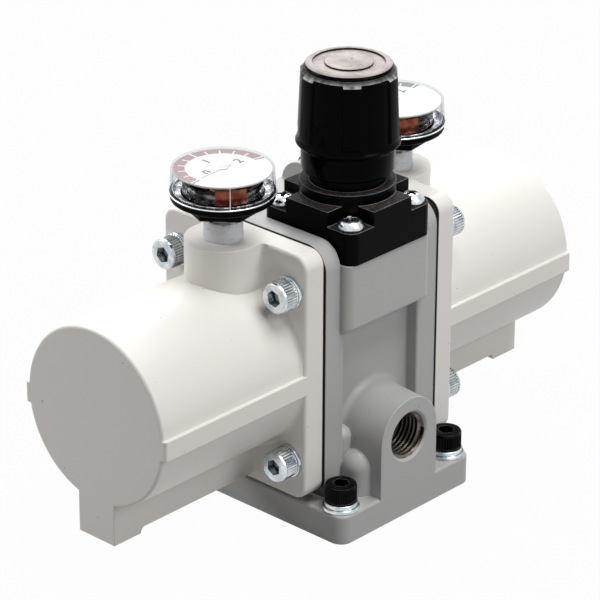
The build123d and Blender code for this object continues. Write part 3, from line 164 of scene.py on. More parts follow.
class Bench:
    """The steps that start, shape and finish every new piece."""

    @staticmethod
    def clear() -> None:
        """Leave edit mode and select nothing."""
        if bpy.context.mode != "OBJECT":
            bpy.ops.object.mode_set(mode="OBJECT")
        bpy.ops.object.select_all(action="DESELECT")

    @classmethod
    def take(cls, piece: Piece) -> Piece:
        """Make a piece the only one selected, and the active one.

        Args:
            piece: The piece to work on.

        Returns:
            The same piece.
        """
        cls.clear()
        piece.select_set(True)
        bpy.context.view_layer.objects.active = piece
        return piece

    @classmethod
    @contextmanager
    def editing(
        cls, piece: Piece, element: Element = Element.VERT, pick: Pick | None = None,
    ) -> Iterator[None]:
        """Hold a piece in edit mode with some of its elements selected.

        Args:
            piece: The piece to edit.
            element: Whether vertices or faces are selected.
            pick: Says which elements are selected; with none given, all are.

        Yields:
            Nothing; operators act on the selection meanwhile.
        """
        cls.take(piece)
        bpy.ops.object.mode_set(mode="EDIT")
        bpy.ops.mesh.select_mode(type=element.name)
        bpy.ops.mesh.select_all(action="DESELECT" if pick else "SELECT")
        if pick:
            shape = bmesh.from_edit_mesh(piece.data)
            for item in getattr(shape, element.value):
                if pick(item):
                    item.select_set(True)
            bmesh.update_edit_mesh(piece.data)
        yield
        bpy.ops.object.mode_set(mode="OBJECT")

    @classmethod
    def close_up(cls, piece: Piece) -> Piece:
        """Weld a piece's doubles, close its holes and point its faces outwards.

        Args:
            piece: The piece to close.

        Returns:
            The same piece.
        """
        with cls.editing(piece):
            bpy.ops.mesh.remove_doubles(threshold=WELD)
            bpy.ops.mesh.fill_holes(sides=0)
            bpy.ops.mesh.normals_make_consistent(inside=False)
        return piece

    @classmethod
    def clean(cls, piece: Piece) -> Piece:
        """Weld a piece's doubles and take out its faces of no area.

        Args:
            piece: The piece to clean.

        Returns:
            The same piece.
        """
        with cls.editing(piece):
            bpy.ops.mesh.remove_doubles(threshold=WELD)
            bpy.ops.mesh.dissolve_degenerate(threshold=SLIVER)
        return piece

    @classmethod
    def trace(cls, name: str, outline: Outline) -> Piece:
        """Draw an outline as a wire in the XZ plane.

        Args:
            name: The piece's name.
            outline: Points of (radius, height).

        Returns:
            The wire, with all of it drawn by extruding one vertex.
        """
        cls.clear()
        bpy.ops.mesh.primitive_plane_add(size=MM, location=(0, 0, 0))
        piece = bpy.context.object
        piece.name = piece.data.name = name
        at_r, at_z = outline[0]
        with cls.editing(piece):
            bpy.ops.mesh.merge(type="CENTER")
            bpy.ops.transform.translate(value=(at_r * MM, 0, at_z * MM))
            for r, z in outline[1:]:
                step = ((r - at_r) * MM, 0, (z - at_z) * MM)
                bpy.ops.mesh.extrude_vertices_move(TRANSFORM_OT_translate={"value": step})
                at_r, at_z = r, z
        return piece

    @classmethod
    def turn(cls, name: str, outline: Outline, steps: int, sweep: float = 360.0) -> Piece:
        """Spin an outline about the Z axis, as a lathe does.

        Args:
            name: The piece's name.
            outline: Points of (radius, height).
            steps: How many steps the spin takes.
            sweep: The spin's angle in degrees, anticlockwise from +X.

        Returns:
            The turned piece, welded, closed and facing outwards.
        """
        piece = cls.trace(name, outline)
        with cls.editing(piece):
            bpy.ops.mesh.spin(steps=steps, angle=-math.radians(sweep), center=(0, 0, 0), axis=(0, 0, 1))
        return cls.close_up(piece)

    @classmethod
    def wind(cls, name: str, section: Outline, pitch: float, turns: int, steps: int) -> Piece:
        """Wind a closed section up the Z axis, as a thread.

        Args:
            name: The piece's name.
            section: Points of (radius, height), the first repeated at the end.
            pitch: The rise of one turn.
            turns: How many turns are wound.
            steps: The steps of one turn.

        Returns:
            The wound piece, its ends closed.
        """
        piece = cls.modify(
            cls.trace(name, section), "SCREW", axis="Z", angle=math.radians(360 * turns),
            screw_offset=pitch * turns * MM, steps=steps * turns, render_steps=steps * turns,
        )
        return cls.close_up(piece)

    @classmethod
    def hexagon(cls, name: str, across: float, low: float, high: float, turn: float = 0.0) -> Piece:
        """Stand a hexagonal bar on the Z axis.

        Args:
            name: The piece's name.
            across: The width across its flats.
            low: The height of its foot.
            high: The height of its top.
            turn: Its turn about the axis in degrees.

        Returns:
            The bar.
        """
        cls.clear()
        bpy.ops.mesh.primitive_cylinder_add(
            vertices=6, radius=across / math.sqrt(3) * MM, depth=(high - low) * MM,
            location=(0, 0, (low + high) / 2 * MM), rotation=(0, 0, math.radians(turn)),
        )
        piece = bpy.context.object
        piece.name = piece.data.name = name
        return cls.settle(piece)

    @classmethod
    def slab(cls, name: str, low: Point, high: Point) -> Piece:
        """Cut a block to size between two corners.

        Args:
            name: The piece's name.
            low: Its lowest corner.
            high: Its highest corner.

        Returns:
            The block.
        """
        cls.clear()
        bpy.ops.mesh.primitive_cube_add(
            size=MM, location=[(a + b) / 2 * MM for a, b in zip(low, high)],
            scale=[b - a for a, b in zip(low, high)],
        )
        piece = bpy.context.object
        piece.name = piece.data.name = name
        return cls.settle(piece)

    @classmethod
    def settle(cls, piece: Piece) -> Piece:
        """Put a piece's place, turn and size into its mesh.

        Args:
            piece: The piece.

        Returns:
            The same piece.
        """
        cls.take(piece)
        bpy.ops.object.transform_apply(location=True, rotation=True, scale=True)
        return piece

    @classmethod
    def place(cls, piece: Piece, at: Point = (0, 0, 0), turn: float = 0.0, axis: Axis = Axis.Z) -> Piece:
        """Turn a piece about an axis through the origin, then carry it to its place.

        Args:
            piece: The piece to place.
            at: Where its origin goes.
            turn: Its turn in degrees.
            axis: The axis of the turn.

        Returns:
            The same piece, with its place in its mesh.
        """
        piece.rotation_euler[axis.value] = math.radians(turn)
        piece.location = [length * MM for length in at]
        return cls.settle(piece)

    @classmethod
    def copy(cls, piece: Piece, name: str) -> Piece:
        """Copy a piece with a mesh of its own.

        Args:
            piece: The piece to copy.
            name: The copy's name.

        Returns:
            The copy.
        """
        cls.take(piece)
        bpy.ops.object.duplicate(linked=False)
        twin = bpy.context.object
        twin.name = twin.data.name = name
        return twin

    @classmethod
    def drop(cls, piece: Piece) -> None:
        """Take a model away once its copies are made."""
        bpy.data.objects.remove(piece)

    @classmethod
    def modify(cls, piece: Piece, kind: str, **settings: object) -> Piece:
        """Add a modifier to a piece and apply it.

        Args:
            piece: The piece to modify.
            kind: The modifier's type.
            settings: The modifier's own settings, in order.

        Returns:
            The same piece.
        """
        cls.take(piece)
        bpy.ops.object.modifier_add(type=kind)
        modifier = piece.modifiers[-1]
        for name, value in settings.items():
            setattr(modifier, name, value)
        bpy.ops.object.modifier_apply(modifier=modifier.name)
        return piece

    @classmethod
    def cut(cls, piece: Piece, *tools: Piece) -> Piece:
        """Cut the shapes of some tools out of a piece.

        Args:
            piece: The piece that is cut.
            tools: The shapes to cut with, which are used up.

        Returns:
            The same piece.
        """
        for tool in tools:
            cls.modify(piece, "BOOLEAN", operation="DIFFERENCE", object=tool)
            cls.drop(tool)
        return piece

    @classmethod
    def ease(cls, piece: Piece, width: float) -> Piece:
        """Round a piece's sharp edges.

        Args:
            piece: The piece to round.
            width: The width of the rounding.

        Returns:
            The same piece.
        """
        return cls.modify(
            piece, "BEVEL", width=width * MM, segments=EASE_STEPS, limit_method="ANGLE",
            angle_limit=math.radians(SHARP_EDGE),
        )

    @classmethod
    def join(cls, pieces: Sequence[Piece]) -> Piece:
        """Join pieces into the first of them.

        Args:
            pieces: The pieces to join.

        Returns:
            The first piece, which now holds them all.
        """
        cls.take(pieces[0])
        for piece in pieces[1:]:
            piece.select_set(True)
        bpy.ops.object.join()
        return pieces[0]

    @classmethod
    def smooth(cls, piece: Piece, crease: float) -> Piece:
        """Shade a piece smooth except where it is creased.

        Args:
            piece: The piece to shade.
            crease: Edges sharper than this many degrees stay sharp.

        Returns:
            The same piece.
        """
        cls.take(piece)
        bpy.ops.object.shade_smooth_by_angle(angle=math.radians(crease))
        return piece

    @classmethod
    def weld_copy(cls, node: str) -> Piece:
        """Copy a CAD node, weld its loose triangles and shade it smooth.

        Args:
            node: The CAD node's name.

        Returns:
            The copy, which nothing carries yet.
        """
        source = bpy.data.objects[node]
        piece = source.copy()
        piece.data = source.data.copy()
        piece.parent = None
        piece.name = piece.data.name = f"{node}_dressed"
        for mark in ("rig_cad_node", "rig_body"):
            del piece[mark]
        bpy.context.scene.collection.objects.link(piece)
        cls.take(piece)
        bpy.ops.mesh.customdata_custom_splitnormals_clear()
        cls.smooth(cls.clean(piece), CAD_CREASE)
        return cls.modify(piece, "WEIGHTED_NORMAL", keep_sharp=True)


class Signal:
    """A value on its way through a material; arithmetic on it adds Math nodes."""

    def __init__(self, sheet: "Sheet", socket: bpy.types.NodeSocket) -> None:
        """Wrap a node's output socket on a sheet."""
        self.sheet = sheet
        self.socket = socket

    def _math(self, operation: str, *terms: "Value") -> "Signal":
        """Add one Math node.

        Args:
            operation: The node's operation.
            terms: What goes into it, in order.

        Returns:
            The node's value.
        """
        return self.sheet.add("Math", {"operation": operation}, dict(enumerate(terms)))

    def __add__(self, other: "Value") -> "Signal":
        """Add a value."""
        return self._math("ADD", self, other)

    __radd__ = __add__

    def __sub__(self, other: "Value") -> "Signal":
        """Take a value away."""
        return self._math("SUBTRACT", self, other)

    def __rsub__(self, other: "Value") -> "Signal":
        """Take this from a value."""
        return self._math("SUBTRACT", other, self)

    def __mul__(self, other: "Value") -> "Signal":
        """Multiply by a value."""
        return self._math("MULTIPLY", self, other)

    __rmul__ = __mul__

    def __pow__(self, other: "Value") -> "Signal":
        """Raise to a power."""
        return self._math("POWER", self, other)

    def size(self) -> "Signal":
        """Give the value without its sign."""
        return self._math("ABSOLUTE", self)

    def over(self, level: "Value") -> "Signal":
        """Give 1 where this is over a level, and 0 elsewhere."""
        return self._math("GREATER_THAN", self, level)

    def held(self) -> "Signal":
        """Hold the value between 0 and 1."""
        return self.sheet.add("Clamp", None, {0: self})

    def ramp(self, low: float, high: float) -> "Signal":
        """Rise smoothly from 0 at a low value to 1 at a high one.

        Args:
            low: Where it leaves 0.
            high: Where it reaches 1.

        Returns:
            The smooth step.
        """
        ends = {"Value": self, "From Min": low, "From Max": high}
        return self.sheet.add("MapRange", {"interpolation_type": "SMOOTHSTEP"}, ends)


Value = Union[float, Signal]


class Sheet:
    """The sheet of nodes of one material, or of the room's light.

    Its edges and hollows are found with SAMPLES rays at each point.
    """

    SAMPLES = 6

    def __init__(self, owner: bpy.types.Material | bpy.types.World) -> None:
        """Start with no nodes.

        Args:
            owner: The material or the world that the sheet belongs to.
        """
        owner.use_nodes = True
        self.owner = owner
        self.tree = owner.node_tree
        self.tree.nodes.clear()

    @classmethod
    def for_material(cls, name: str) -> "Sheet":
        """Start the sheet of a new material."""
        return cls(bpy.data.materials.new(name))

    def add(
        self, kind: str, settings: dict[str, object] | None = None,
        inputs: dict[str | int, object] | None = None, output: int | str = 0,
    ) -> Signal:
        """Add a node and take one of its outputs.

        Args:
            kind: The node's type without its common start.
            settings: The node's own settings.
            inputs: The value or link of each socket that isn't left as it is.
            output: Which of its sockets is given back.

        Returns:
            That output.
        """
        return Signal(self, self.node(kind, settings, inputs).outputs[output])

    def node(
        self, kind: str, settings: dict[str, object] | None = None,
        inputs: dict[str | int, object] | None = None,
    ) -> bpy.types.Node:
        """Add a node of any type.

        Args:
            kind: The node's type without its common start.
            settings: The node's own settings, which come first.
            inputs: The value or link of each socket that isn't left as it is.

        Returns:
            The node.
        """
        node = self.tree.nodes.new(f"ShaderNode{kind}")
        for name, value in (settings or {}).items():
            setattr(node, name, value)
        for name, value in (inputs or {}).items():
            if isinstance(value, Signal):
                self.tree.links.new(value.socket, node.inputs[name])
            elif isinstance(value, tuple) and len(value) == 3 and node.inputs[name].type == "RGBA":
                node.inputs[name].default_value = (*value, 1.0)
            else:
                node.inputs[name].default_value = value
        return node

    def spot(self, stretch: Point = (1, 1, 1)) -> Signal:
        """Give the place on the piece, stretched along each axis."""
        place = self.add("TexCoord", output="Object")
        return self.add("Mapping", None, {"Vector": place, "Scale": stretch})

    def noise(self, grain: float, detail: float = 2.0, stretch: Point = (1, 1, 1)) -> Signal:
        """Give noise with a grain of some millimetres.

        Args:
            grain: The size of its blotches.
            detail: How many finer layers it has.
            stretch: Its scale along each axis.

        Returns:
            The noise, from about 0.25 to 0.75.
        """
        inputs = {"Vector": self.spot(stretch), "Scale": 1 / (grain * MM), "Detail": detail}
        return self.add("TexNoise", None, inputs)

    def blend(self, share: Value, under: Signal | Colour, over: Signal | Colour) -> Signal:
        """Mix two colours, which the Mix node takes in sockets 6 and 7 and gives back in socket 2.

        Args:
            share: How much of the second shows.
            under: The first colour.
            over: The second colour.

        Returns:
            The mixed colour.
        """
        return self.add("Mix", {"data_type": "RGBA"}, {0: share, 6: under, 7: over}, 2)

    def bump(self, height: Signal, depth: float, under: Signal | None = None) -> Signal:
        """Raise the surface by a height.

        Args:
            height: The height, from 0 to 1.
            depth: What a height of 1 stands for, in millimetres.
            under: A normal that it starts from.

        Returns:
            The new normal.
        """
        inputs = {"Height": height, "Distance": depth * MM}
        if under:
            inputs["Normal"] = under
        return self.add("Bump", None, inputs)

    def part(self, vector: Signal, axis: Axis) -> Signal:
        """Give a vector's share along one axis."""
        return self.add("SeparateXYZ", None, {0: vector}, axis.name)

    def soft_edge(self, radius: float) -> Signal:
        """Give the normal of a surface whose edges are rounded by some millimetres."""
        return self.add("Bevel", {"samples": self.SAMPLES}, {"Radius": radius * MM})

    def edge_mask(self, rounded: Signal, gain: float) -> Signal:
        """Give 1 on an edge and 0 away from it.

        Args:
            rounded: The rounded normal.
            gain: How quickly it rises.

        Returns:
            The mask.
        """
        plain = self.add("NewGeometry", output="Normal")
        along = self.add("VectorMath", {"operation": "DOT_PRODUCT"}, {0: rounded, 1: plain}, "Value")
        return ((1 - along) * gain).held()

    def hollow(self, reach: float) -> Signal:
        """Give 1 on open surfaces and less in hollows narrower than some millimetres."""
        settings = {"samples": self.SAMPLES, "only_local": True}
        return self.add("AmbientOcclusion", settings, {"Distance": reach * MM}, "AO")

    def shown(self) -> Signal:
        """Mark what the camera sees directly, mirrored or through glass.

        Returns:
            1 there and 0 for all other light.
        """
        camera, glossy, clear = [
            self.add("LightPath", output=f"Is {ray} Ray") for ray in ("Camera", "Glossy", "Transmission")
        ]
        return (camera + glossy + clear).held()

    def principled(self, **sockets: object) -> Signal:
        """Add the main shader; an underscore in a socket's name stands for a space."""
        return self.add("BsdfPrincipled", None, {k.replace("_", " "): v for k, v in sockets.items()})

    def finish(self, shader: Signal) -> bpy.types.Material | bpy.types.World:
        """Join the last shader to the output.

        Args:
            shader: The last shader.

        Returns:
            The material or the world that the sheet belongs to.
        """
        kind = "OutputWorld" if isinstance(self.owner, bpy.types.World) else "OutputMaterial"
        self.node(kind, None, {"Surface": shader})
        return self.owner


def scaled(colour: Colour, share: float) -> Colour:
    """Give a colour with its light scaled."""
    return tuple(share * part for part in colour)


@dataclass(frozen=True)
class Finish:
    """A finish of one kind of surface."""

    name: str

    def mix(self) -> bpy.types.Material:
        """Make the finish's material."""
        raise NotImplementedError


@dataclass(frozen=True)
class CastPaint(Finish):
    """Satin paint over a die casting: fine peel, soft edges with a painted highlight that is strongest where
    they face up, a few specks and a dark joint.
    """

    colour: Colour
    edge_colour: Colour
    edge: float
    peel: float
    depth: float
    specks: float
    gloss: float = 0.38
    shine: float = 0.38
    joint: tuple[float, float] = (21.62, 22.58)
    joint_blur: float = 0.1
    joint_z: float = 9.2
    joint_colour: Colour = (0.006, 0.006, 0.006)

    def mix(self) -> bpy.types.Material:
        """Mix the paint.

        Returns:
            The material.
        """
        sheet = Sheet.for_material(self.name)
        rounded = sheet.soft_edge(self.edge)
        edge = sheet.edge_mask(rounded, gain=4.0)
        cloud = sheet.noise(grain=14.0, detail=3.0)
        peel = sheet.noise(self.peel, detail=3.0)
        grit = sheet.noise(grain=0.22)
        pit = sheet.noise(grain=1.1, detail=1.0).ramp(self.specks, self.specks + 0.03)
        rise = sheet.part(rounded, Axis.Z).ramp(-0.2, 0.5)
        joint = self.joint_mask(sheet)
        shade = sheet.blend((cloud - 0.35) * 0.9, scaled(self.colour, 0.965), self.colour)
        shade = sheet.blend(peel.ramp(0.3, 0.62) * 0.5, scaled(self.colour, 0.975), shade)
        # Painted highlight: edges turn pale, most of all where their rounded normal faces up.
        shade = sheet.blend(edge * (0.32 + rise * 0.68), shade, self.edge_colour)
        shade = sheet.blend(pit * 0.6, shade, scaled(self.colour, 0.3))
        shade = sheet.blend(joint * 0.96, shade, self.joint_colour)
        height = peel * 0.7 + grit * 0.3 - pit * 1.2
        normal = sheet.bump(height, self.depth, rounded)
        rough = self.gloss + (peel - 0.5) * 0.16 + (cloud - 0.5) * 0.1
        return sheet.finish(sheet.principled(
            Base_Color=shade, Roughness=rough, Normal=normal, Specular_IOR_Level=self.shine,
        ))

    def joint_mask(self, sheet: Sheet) -> Signal:
        """Mark the joints between the body and its covers, above the base plate.

        Args:
            sheet: The paint's sheet.

        Returns:
            1 on the joints and 0 elsewhere.
        """
        place = sheet.spot()
        across = sheet.part(place, Axis.X).size() * (1 / MM)
        above = sheet.part(place, Axis.Z).over(self.joint_z * MM)
        low, high = self.joint
        blur = self.joint_blur
        return across.ramp(low - blur, low) * (1 - across.ramp(high, high + blur)) * above


@dataclass(frozen=True)
class PlatedSteel(Finish):
    """Bright plated or drawn metal with a faint tint, haze, stains and painted shade in its hollows."""

    colour: Colour
    tint: Colour
    gloss: float
    edge: float = 0.12
    depth: float = 0.006
    stain: float = 0.35
    cavity: float = 0.75
    reach: float = 0.9

    def mix(self) -> bpy.types.Material:
        """Mix the metal.

        Returns:
            The material.
        """
        sheet = Sheet.for_material(self.name)
        rounded = sheet.soft_edge(self.edge)
        cloud = sheet.noise(grain=2.6, detail=3.0)
        haze = sheet.noise(grain=0.5, detail=4.0)
        stain = sheet.noise(grain=1.1, detail=3.0).ramp(0.56, 0.7)
        shade = sheet.blend(cloud.ramp(0.38, 0.62), self.colour, self.tint)
        shade = sheet.blend(stain * self.stain, shade, scaled(self.colour, 0.5))
        # Painted shade: hollows found by occlusion rays are darkened towards near black.
        closed = (1 - sheet.hollow(self.reach)).ramp(0.08, 0.55)
        shade = sheet.blend(closed * self.cavity, shade, scaled(self.colour, 0.06))
        rough = self.gloss + haze * 0.16 + stain * 0.12
        normal = sheet.bump(haze, self.depth, rounded)
        return sheet.finish(sheet.principled(
            Base_Color=shade, Metallic=1.0, Roughness=rough, Normal=normal,
        ))


@dataclass(frozen=True)
class Blackened(Finish):
    """Black oxide or black enamel on steel, its edges pale, partly from wear and partly as a painted
    highlight where they face up.
    """

    colour: Colour = (0.001, 0.001, 0.0012)
    worn: Colour = (0.5, 0.5, 0.51)
    gloss: float = 0.16
    edge: float = 0.12
    depth: float = 0.004
    shine: float = 0.06

    def mix(self) -> bpy.types.Material:
        """Mix the black.

        Returns:
            The material.
        """
        sheet = Sheet.for_material(self.name)
        rounded = sheet.soft_edge(self.edge)
        edge = sheet.edge_mask(rounded, gain=5.0)
        cloud = sheet.noise(grain=1.8, detail=3.0)
        grain = sheet.noise(grain=0.18, detail=3.0)
        rise = sheet.part(rounded, Axis.Z).ramp(0.1, 0.6)
        # Partly wear, partly painted highlight: edges turn pale only where their rounded normal faces up.
        shade = sheet.blend(edge * rise * (0.4 + cloud * 0.7), self.colour, self.worn)
        rough = self.gloss + cloud * 0.1 + grain * 0.1
        normal = sheet.bump(grain, self.depth, rounded)
        return sheet.finish(sheet.principled(
            Base_Color=shade, Roughness=rough, Normal=normal, Specular_IOR_Level=self.shine,
        ))


@dataclass(frozen=True)
class MouldedPlastic(Finish):
    """Black moulded plastic with painted light: a pale painted reflection on its highest upward faces,
    painted highlights on the edges that face up, and a painted sheen on its shoulder.

    bloom_above is the height over which upward faces take the painted reflection, fleck how much of it is
    speckled, and sheen_z the heights between which the sheen fades; with none given, there is no sheen.
    """

    colour: Colour
    bloom: Colour
    rim: Colour
    gloss: float
    edge: float
    shine: float
    bloom_above: float
    fleck: float
    grain: float = 0.35
    depth: float = 0.02
    sheen: Colour = (0.5, 0.49, 0.5)
    sheen_z: tuple[float, float] = (1000.0, 1001.0)

    def mix(self) -> bpy.types.Material:
        """Mix the plastic.

        Returns:
            The material.
        """
        sheet = Sheet.for_material(self.name)
        rounded = sheet.soft_edge(self.edge)
        edge = sheet.edge_mask(rounded, gain=4.0)
        cloud = sheet.noise(grain=5.0, detail=3.0)
        grain = sheet.noise(self.grain)
        streak = sheet.noise(grain=0.9, detail=3.0, stretch=(1, 1, 0.12))
        height = sheet.part(sheet.spot(), Axis.Z)
        facing = sheet.part(sheet.add("NewGeometry", output="Normal"), Axis.Z)
        top = height.over(self.bloom_above * MM) * facing.ramp(0.55, 0.9)
        rise = sheet.part(rounded, Axis.Z).ramp(0.15, 0.6)
        fleck = 1 - self.fleck * (1 - sheet.noise(grain=0.4).ramp(0.5, 0.6))
        # Painted reflection: the highest faces that point up are paled, as if lit from above.
        shade = sheet.blend(top * fleck * (0.75 + (cloud - 0.5) * 0.9).held(), self.colour, self.bloom)
        # Painted highlight: edges whose rounded normal faces up take the pale rim colour.
        shade = sheet.blend((edge - 0.12).held() * rise * (0.5 + cloud * 0.6), shade, self.rim)
        low, high = self.sheen_z
        shoulder = height.over(low * MM) * (1 - height.over(high * MM)) * facing.ramp(0.45, 0.6)
        fall = 1 - height.ramp(low * MM, high * MM)
        patch = sheet.noise(grain=2.4, stretch=(1, 1, 0.3))
        shade = sheet.blend(shoulder * fall * (0.75 + (patch - 0.5) * 3.2).held(), shade, self.sheen)
        rough = self.gloss + (grain - 0.5) * 0.14 + streak * 0.06 + top * 0.12
        normal = sheet.bump(grain * 0.8 + streak * 0.2, self.depth, rounded)
        return sheet.finish(sheet.principled(
            Base_Color=shade, Roughness=rough, Normal=normal, Specular_IOR_Level=self.shine,
        ))


@dataclass(frozen=True)
class SoftRubber(Finish):
    """Matt seal rubber or gasket sheet with a dusty grain."""

    colour: Colour = (0.018, 0.018, 0.019)
    gloss: float = 0.62
    depth: float = 0.02
    shine: float = 0.3

    def mix(self) -> bpy.types.Material:
        """Mix the rubber.

        Returns:
            The material.
        """
        sheet = Sheet.for_material(self.name)
        grain = sheet.noise(grain=0.25, detail=4.0)
        dust = sheet.noise(grain=1.6, detail=3.0).ramp(0.5, 0.75)
        shade = sheet.blend(dust * 0.4, self.colour, scaled(self.colour, 2.6))
        return sheet.finish(sheet.principled(
            Base_Color=shade, Roughness=self.gloss + grain * 0.2, Normal=sheet.bump(grain, self.depth),
            Specular_IOR_Level=self.shine,
        ))


@dataclass(frozen=True)
class SealingTape(Finish):
    """White sealing tape, stretched into fine wrinkles round the stem."""

    colour: Colour = (0.80, 0.81, 0.83)
    shadow: Colour = (0.50, 0.52, 0.56)
    gloss: float = 0.34
    depth: float = 0.16
    glow: float = 0.12
    glow_reach: float = 1.0

    def mix(self) -> bpy.types.Material:
        """Mix the tape.

        Returns:
            The material.
        """
        sheet = Sheet.for_material(self.name)
        layers = sheet.noise(grain=0.9, detail=3.0, stretch=(0.35, 0.35, 2.4))
        pull = sheet.noise(grain=0.55, stretch=(1.6, 1.6, 0.4))
        cloud = sheet.noise(grain=3.2)
        shade = sheet.blend(layers.ramp(0.5, 0.66) * 0.45, self.colour, self.shadow)
        shade = sheet.blend(cloud.ramp(0.52, 0.68) * 0.35, shade, self.shadow)
        normal = sheet.bump(layers + pull * 0.7, self.depth)
        reach = self.glow_reach * MM
        return sheet.finish(sheet.principled(
            Base_Color=shade, Roughness=self.gloss + pull * 0.2, Normal=normal,
            Subsurface_Weight=self.glow, Subsurface_Radius=(reach, reach, reach), Subsurface_Scale=1.0,
        ))


@dataclass(frozen=True)
class ClearCover(Finish):
    """Clear moulded plastic: see-through with a coat of reflections."""

    clear: Colour = (0.97, 0.975, 0.98)
    skin: Colour = (0.24, 0.265, 0.29)
    gloss: float = 0.06
    depth: float = 0.03
    shine: float = 0.62
    haze: float = 0.002
    falloff: float = 4.4

    def mix(self) -> bpy.types.Material:
        """Mix the clear plastic.

        Returns:
            The material.
        """
        sheet = Sheet.for_material(self.name)
        ripple = sheet.noise(grain=2.2)
        normal = sheet.bump(ripple, self.depth)
        clear = sheet.add("BsdfTransparent", None, {"Color": self.clear})
        skin = sheet.principled(
            Base_Color=self.skin, Roughness=self.gloss + ripple * 0.05, Normal=normal, Metallic=1.0,
        )
        glance = sheet.add("LayerWeight", None, {"Blend": 0.5, "Normal": normal}, "Facing")
        share = (glance ** self.falloff * self.shine + self.haze).held()
        return sheet.finish(sheet.add("MixShader", None, {0: share, 1: clear, 2: skin}))


@dataclass(frozen=True)
class PrintedCard(Finish):
    """Matt print or paint on a flat plate."""

    colour: Colour
    gloss: float = 0.42
    depth: float = 0.006
    shine: float = 0.35

    def mix(self) -> bpy.types.Material:
        """Mix the print.

        Returns:
            The material.
        """
        sheet = Sheet.for_material(self.name)
        fibre = sheet.noise(grain=0.3, detail=3.0)
        cloud = sheet.noise(grain=6.0)
        shade = sheet.blend(fibre.ramp(0.3, 0.7) * 0.6, scaled(self.colour, 0.95), self.colour)
        return sheet.finish(sheet.principled(
            Base_Color=shade, Roughness=self.gloss + cloud * 0.12, Normal=sheet.bump(fibre, self.depth),
            Specular_IOR_Level=self.shine,
        ))


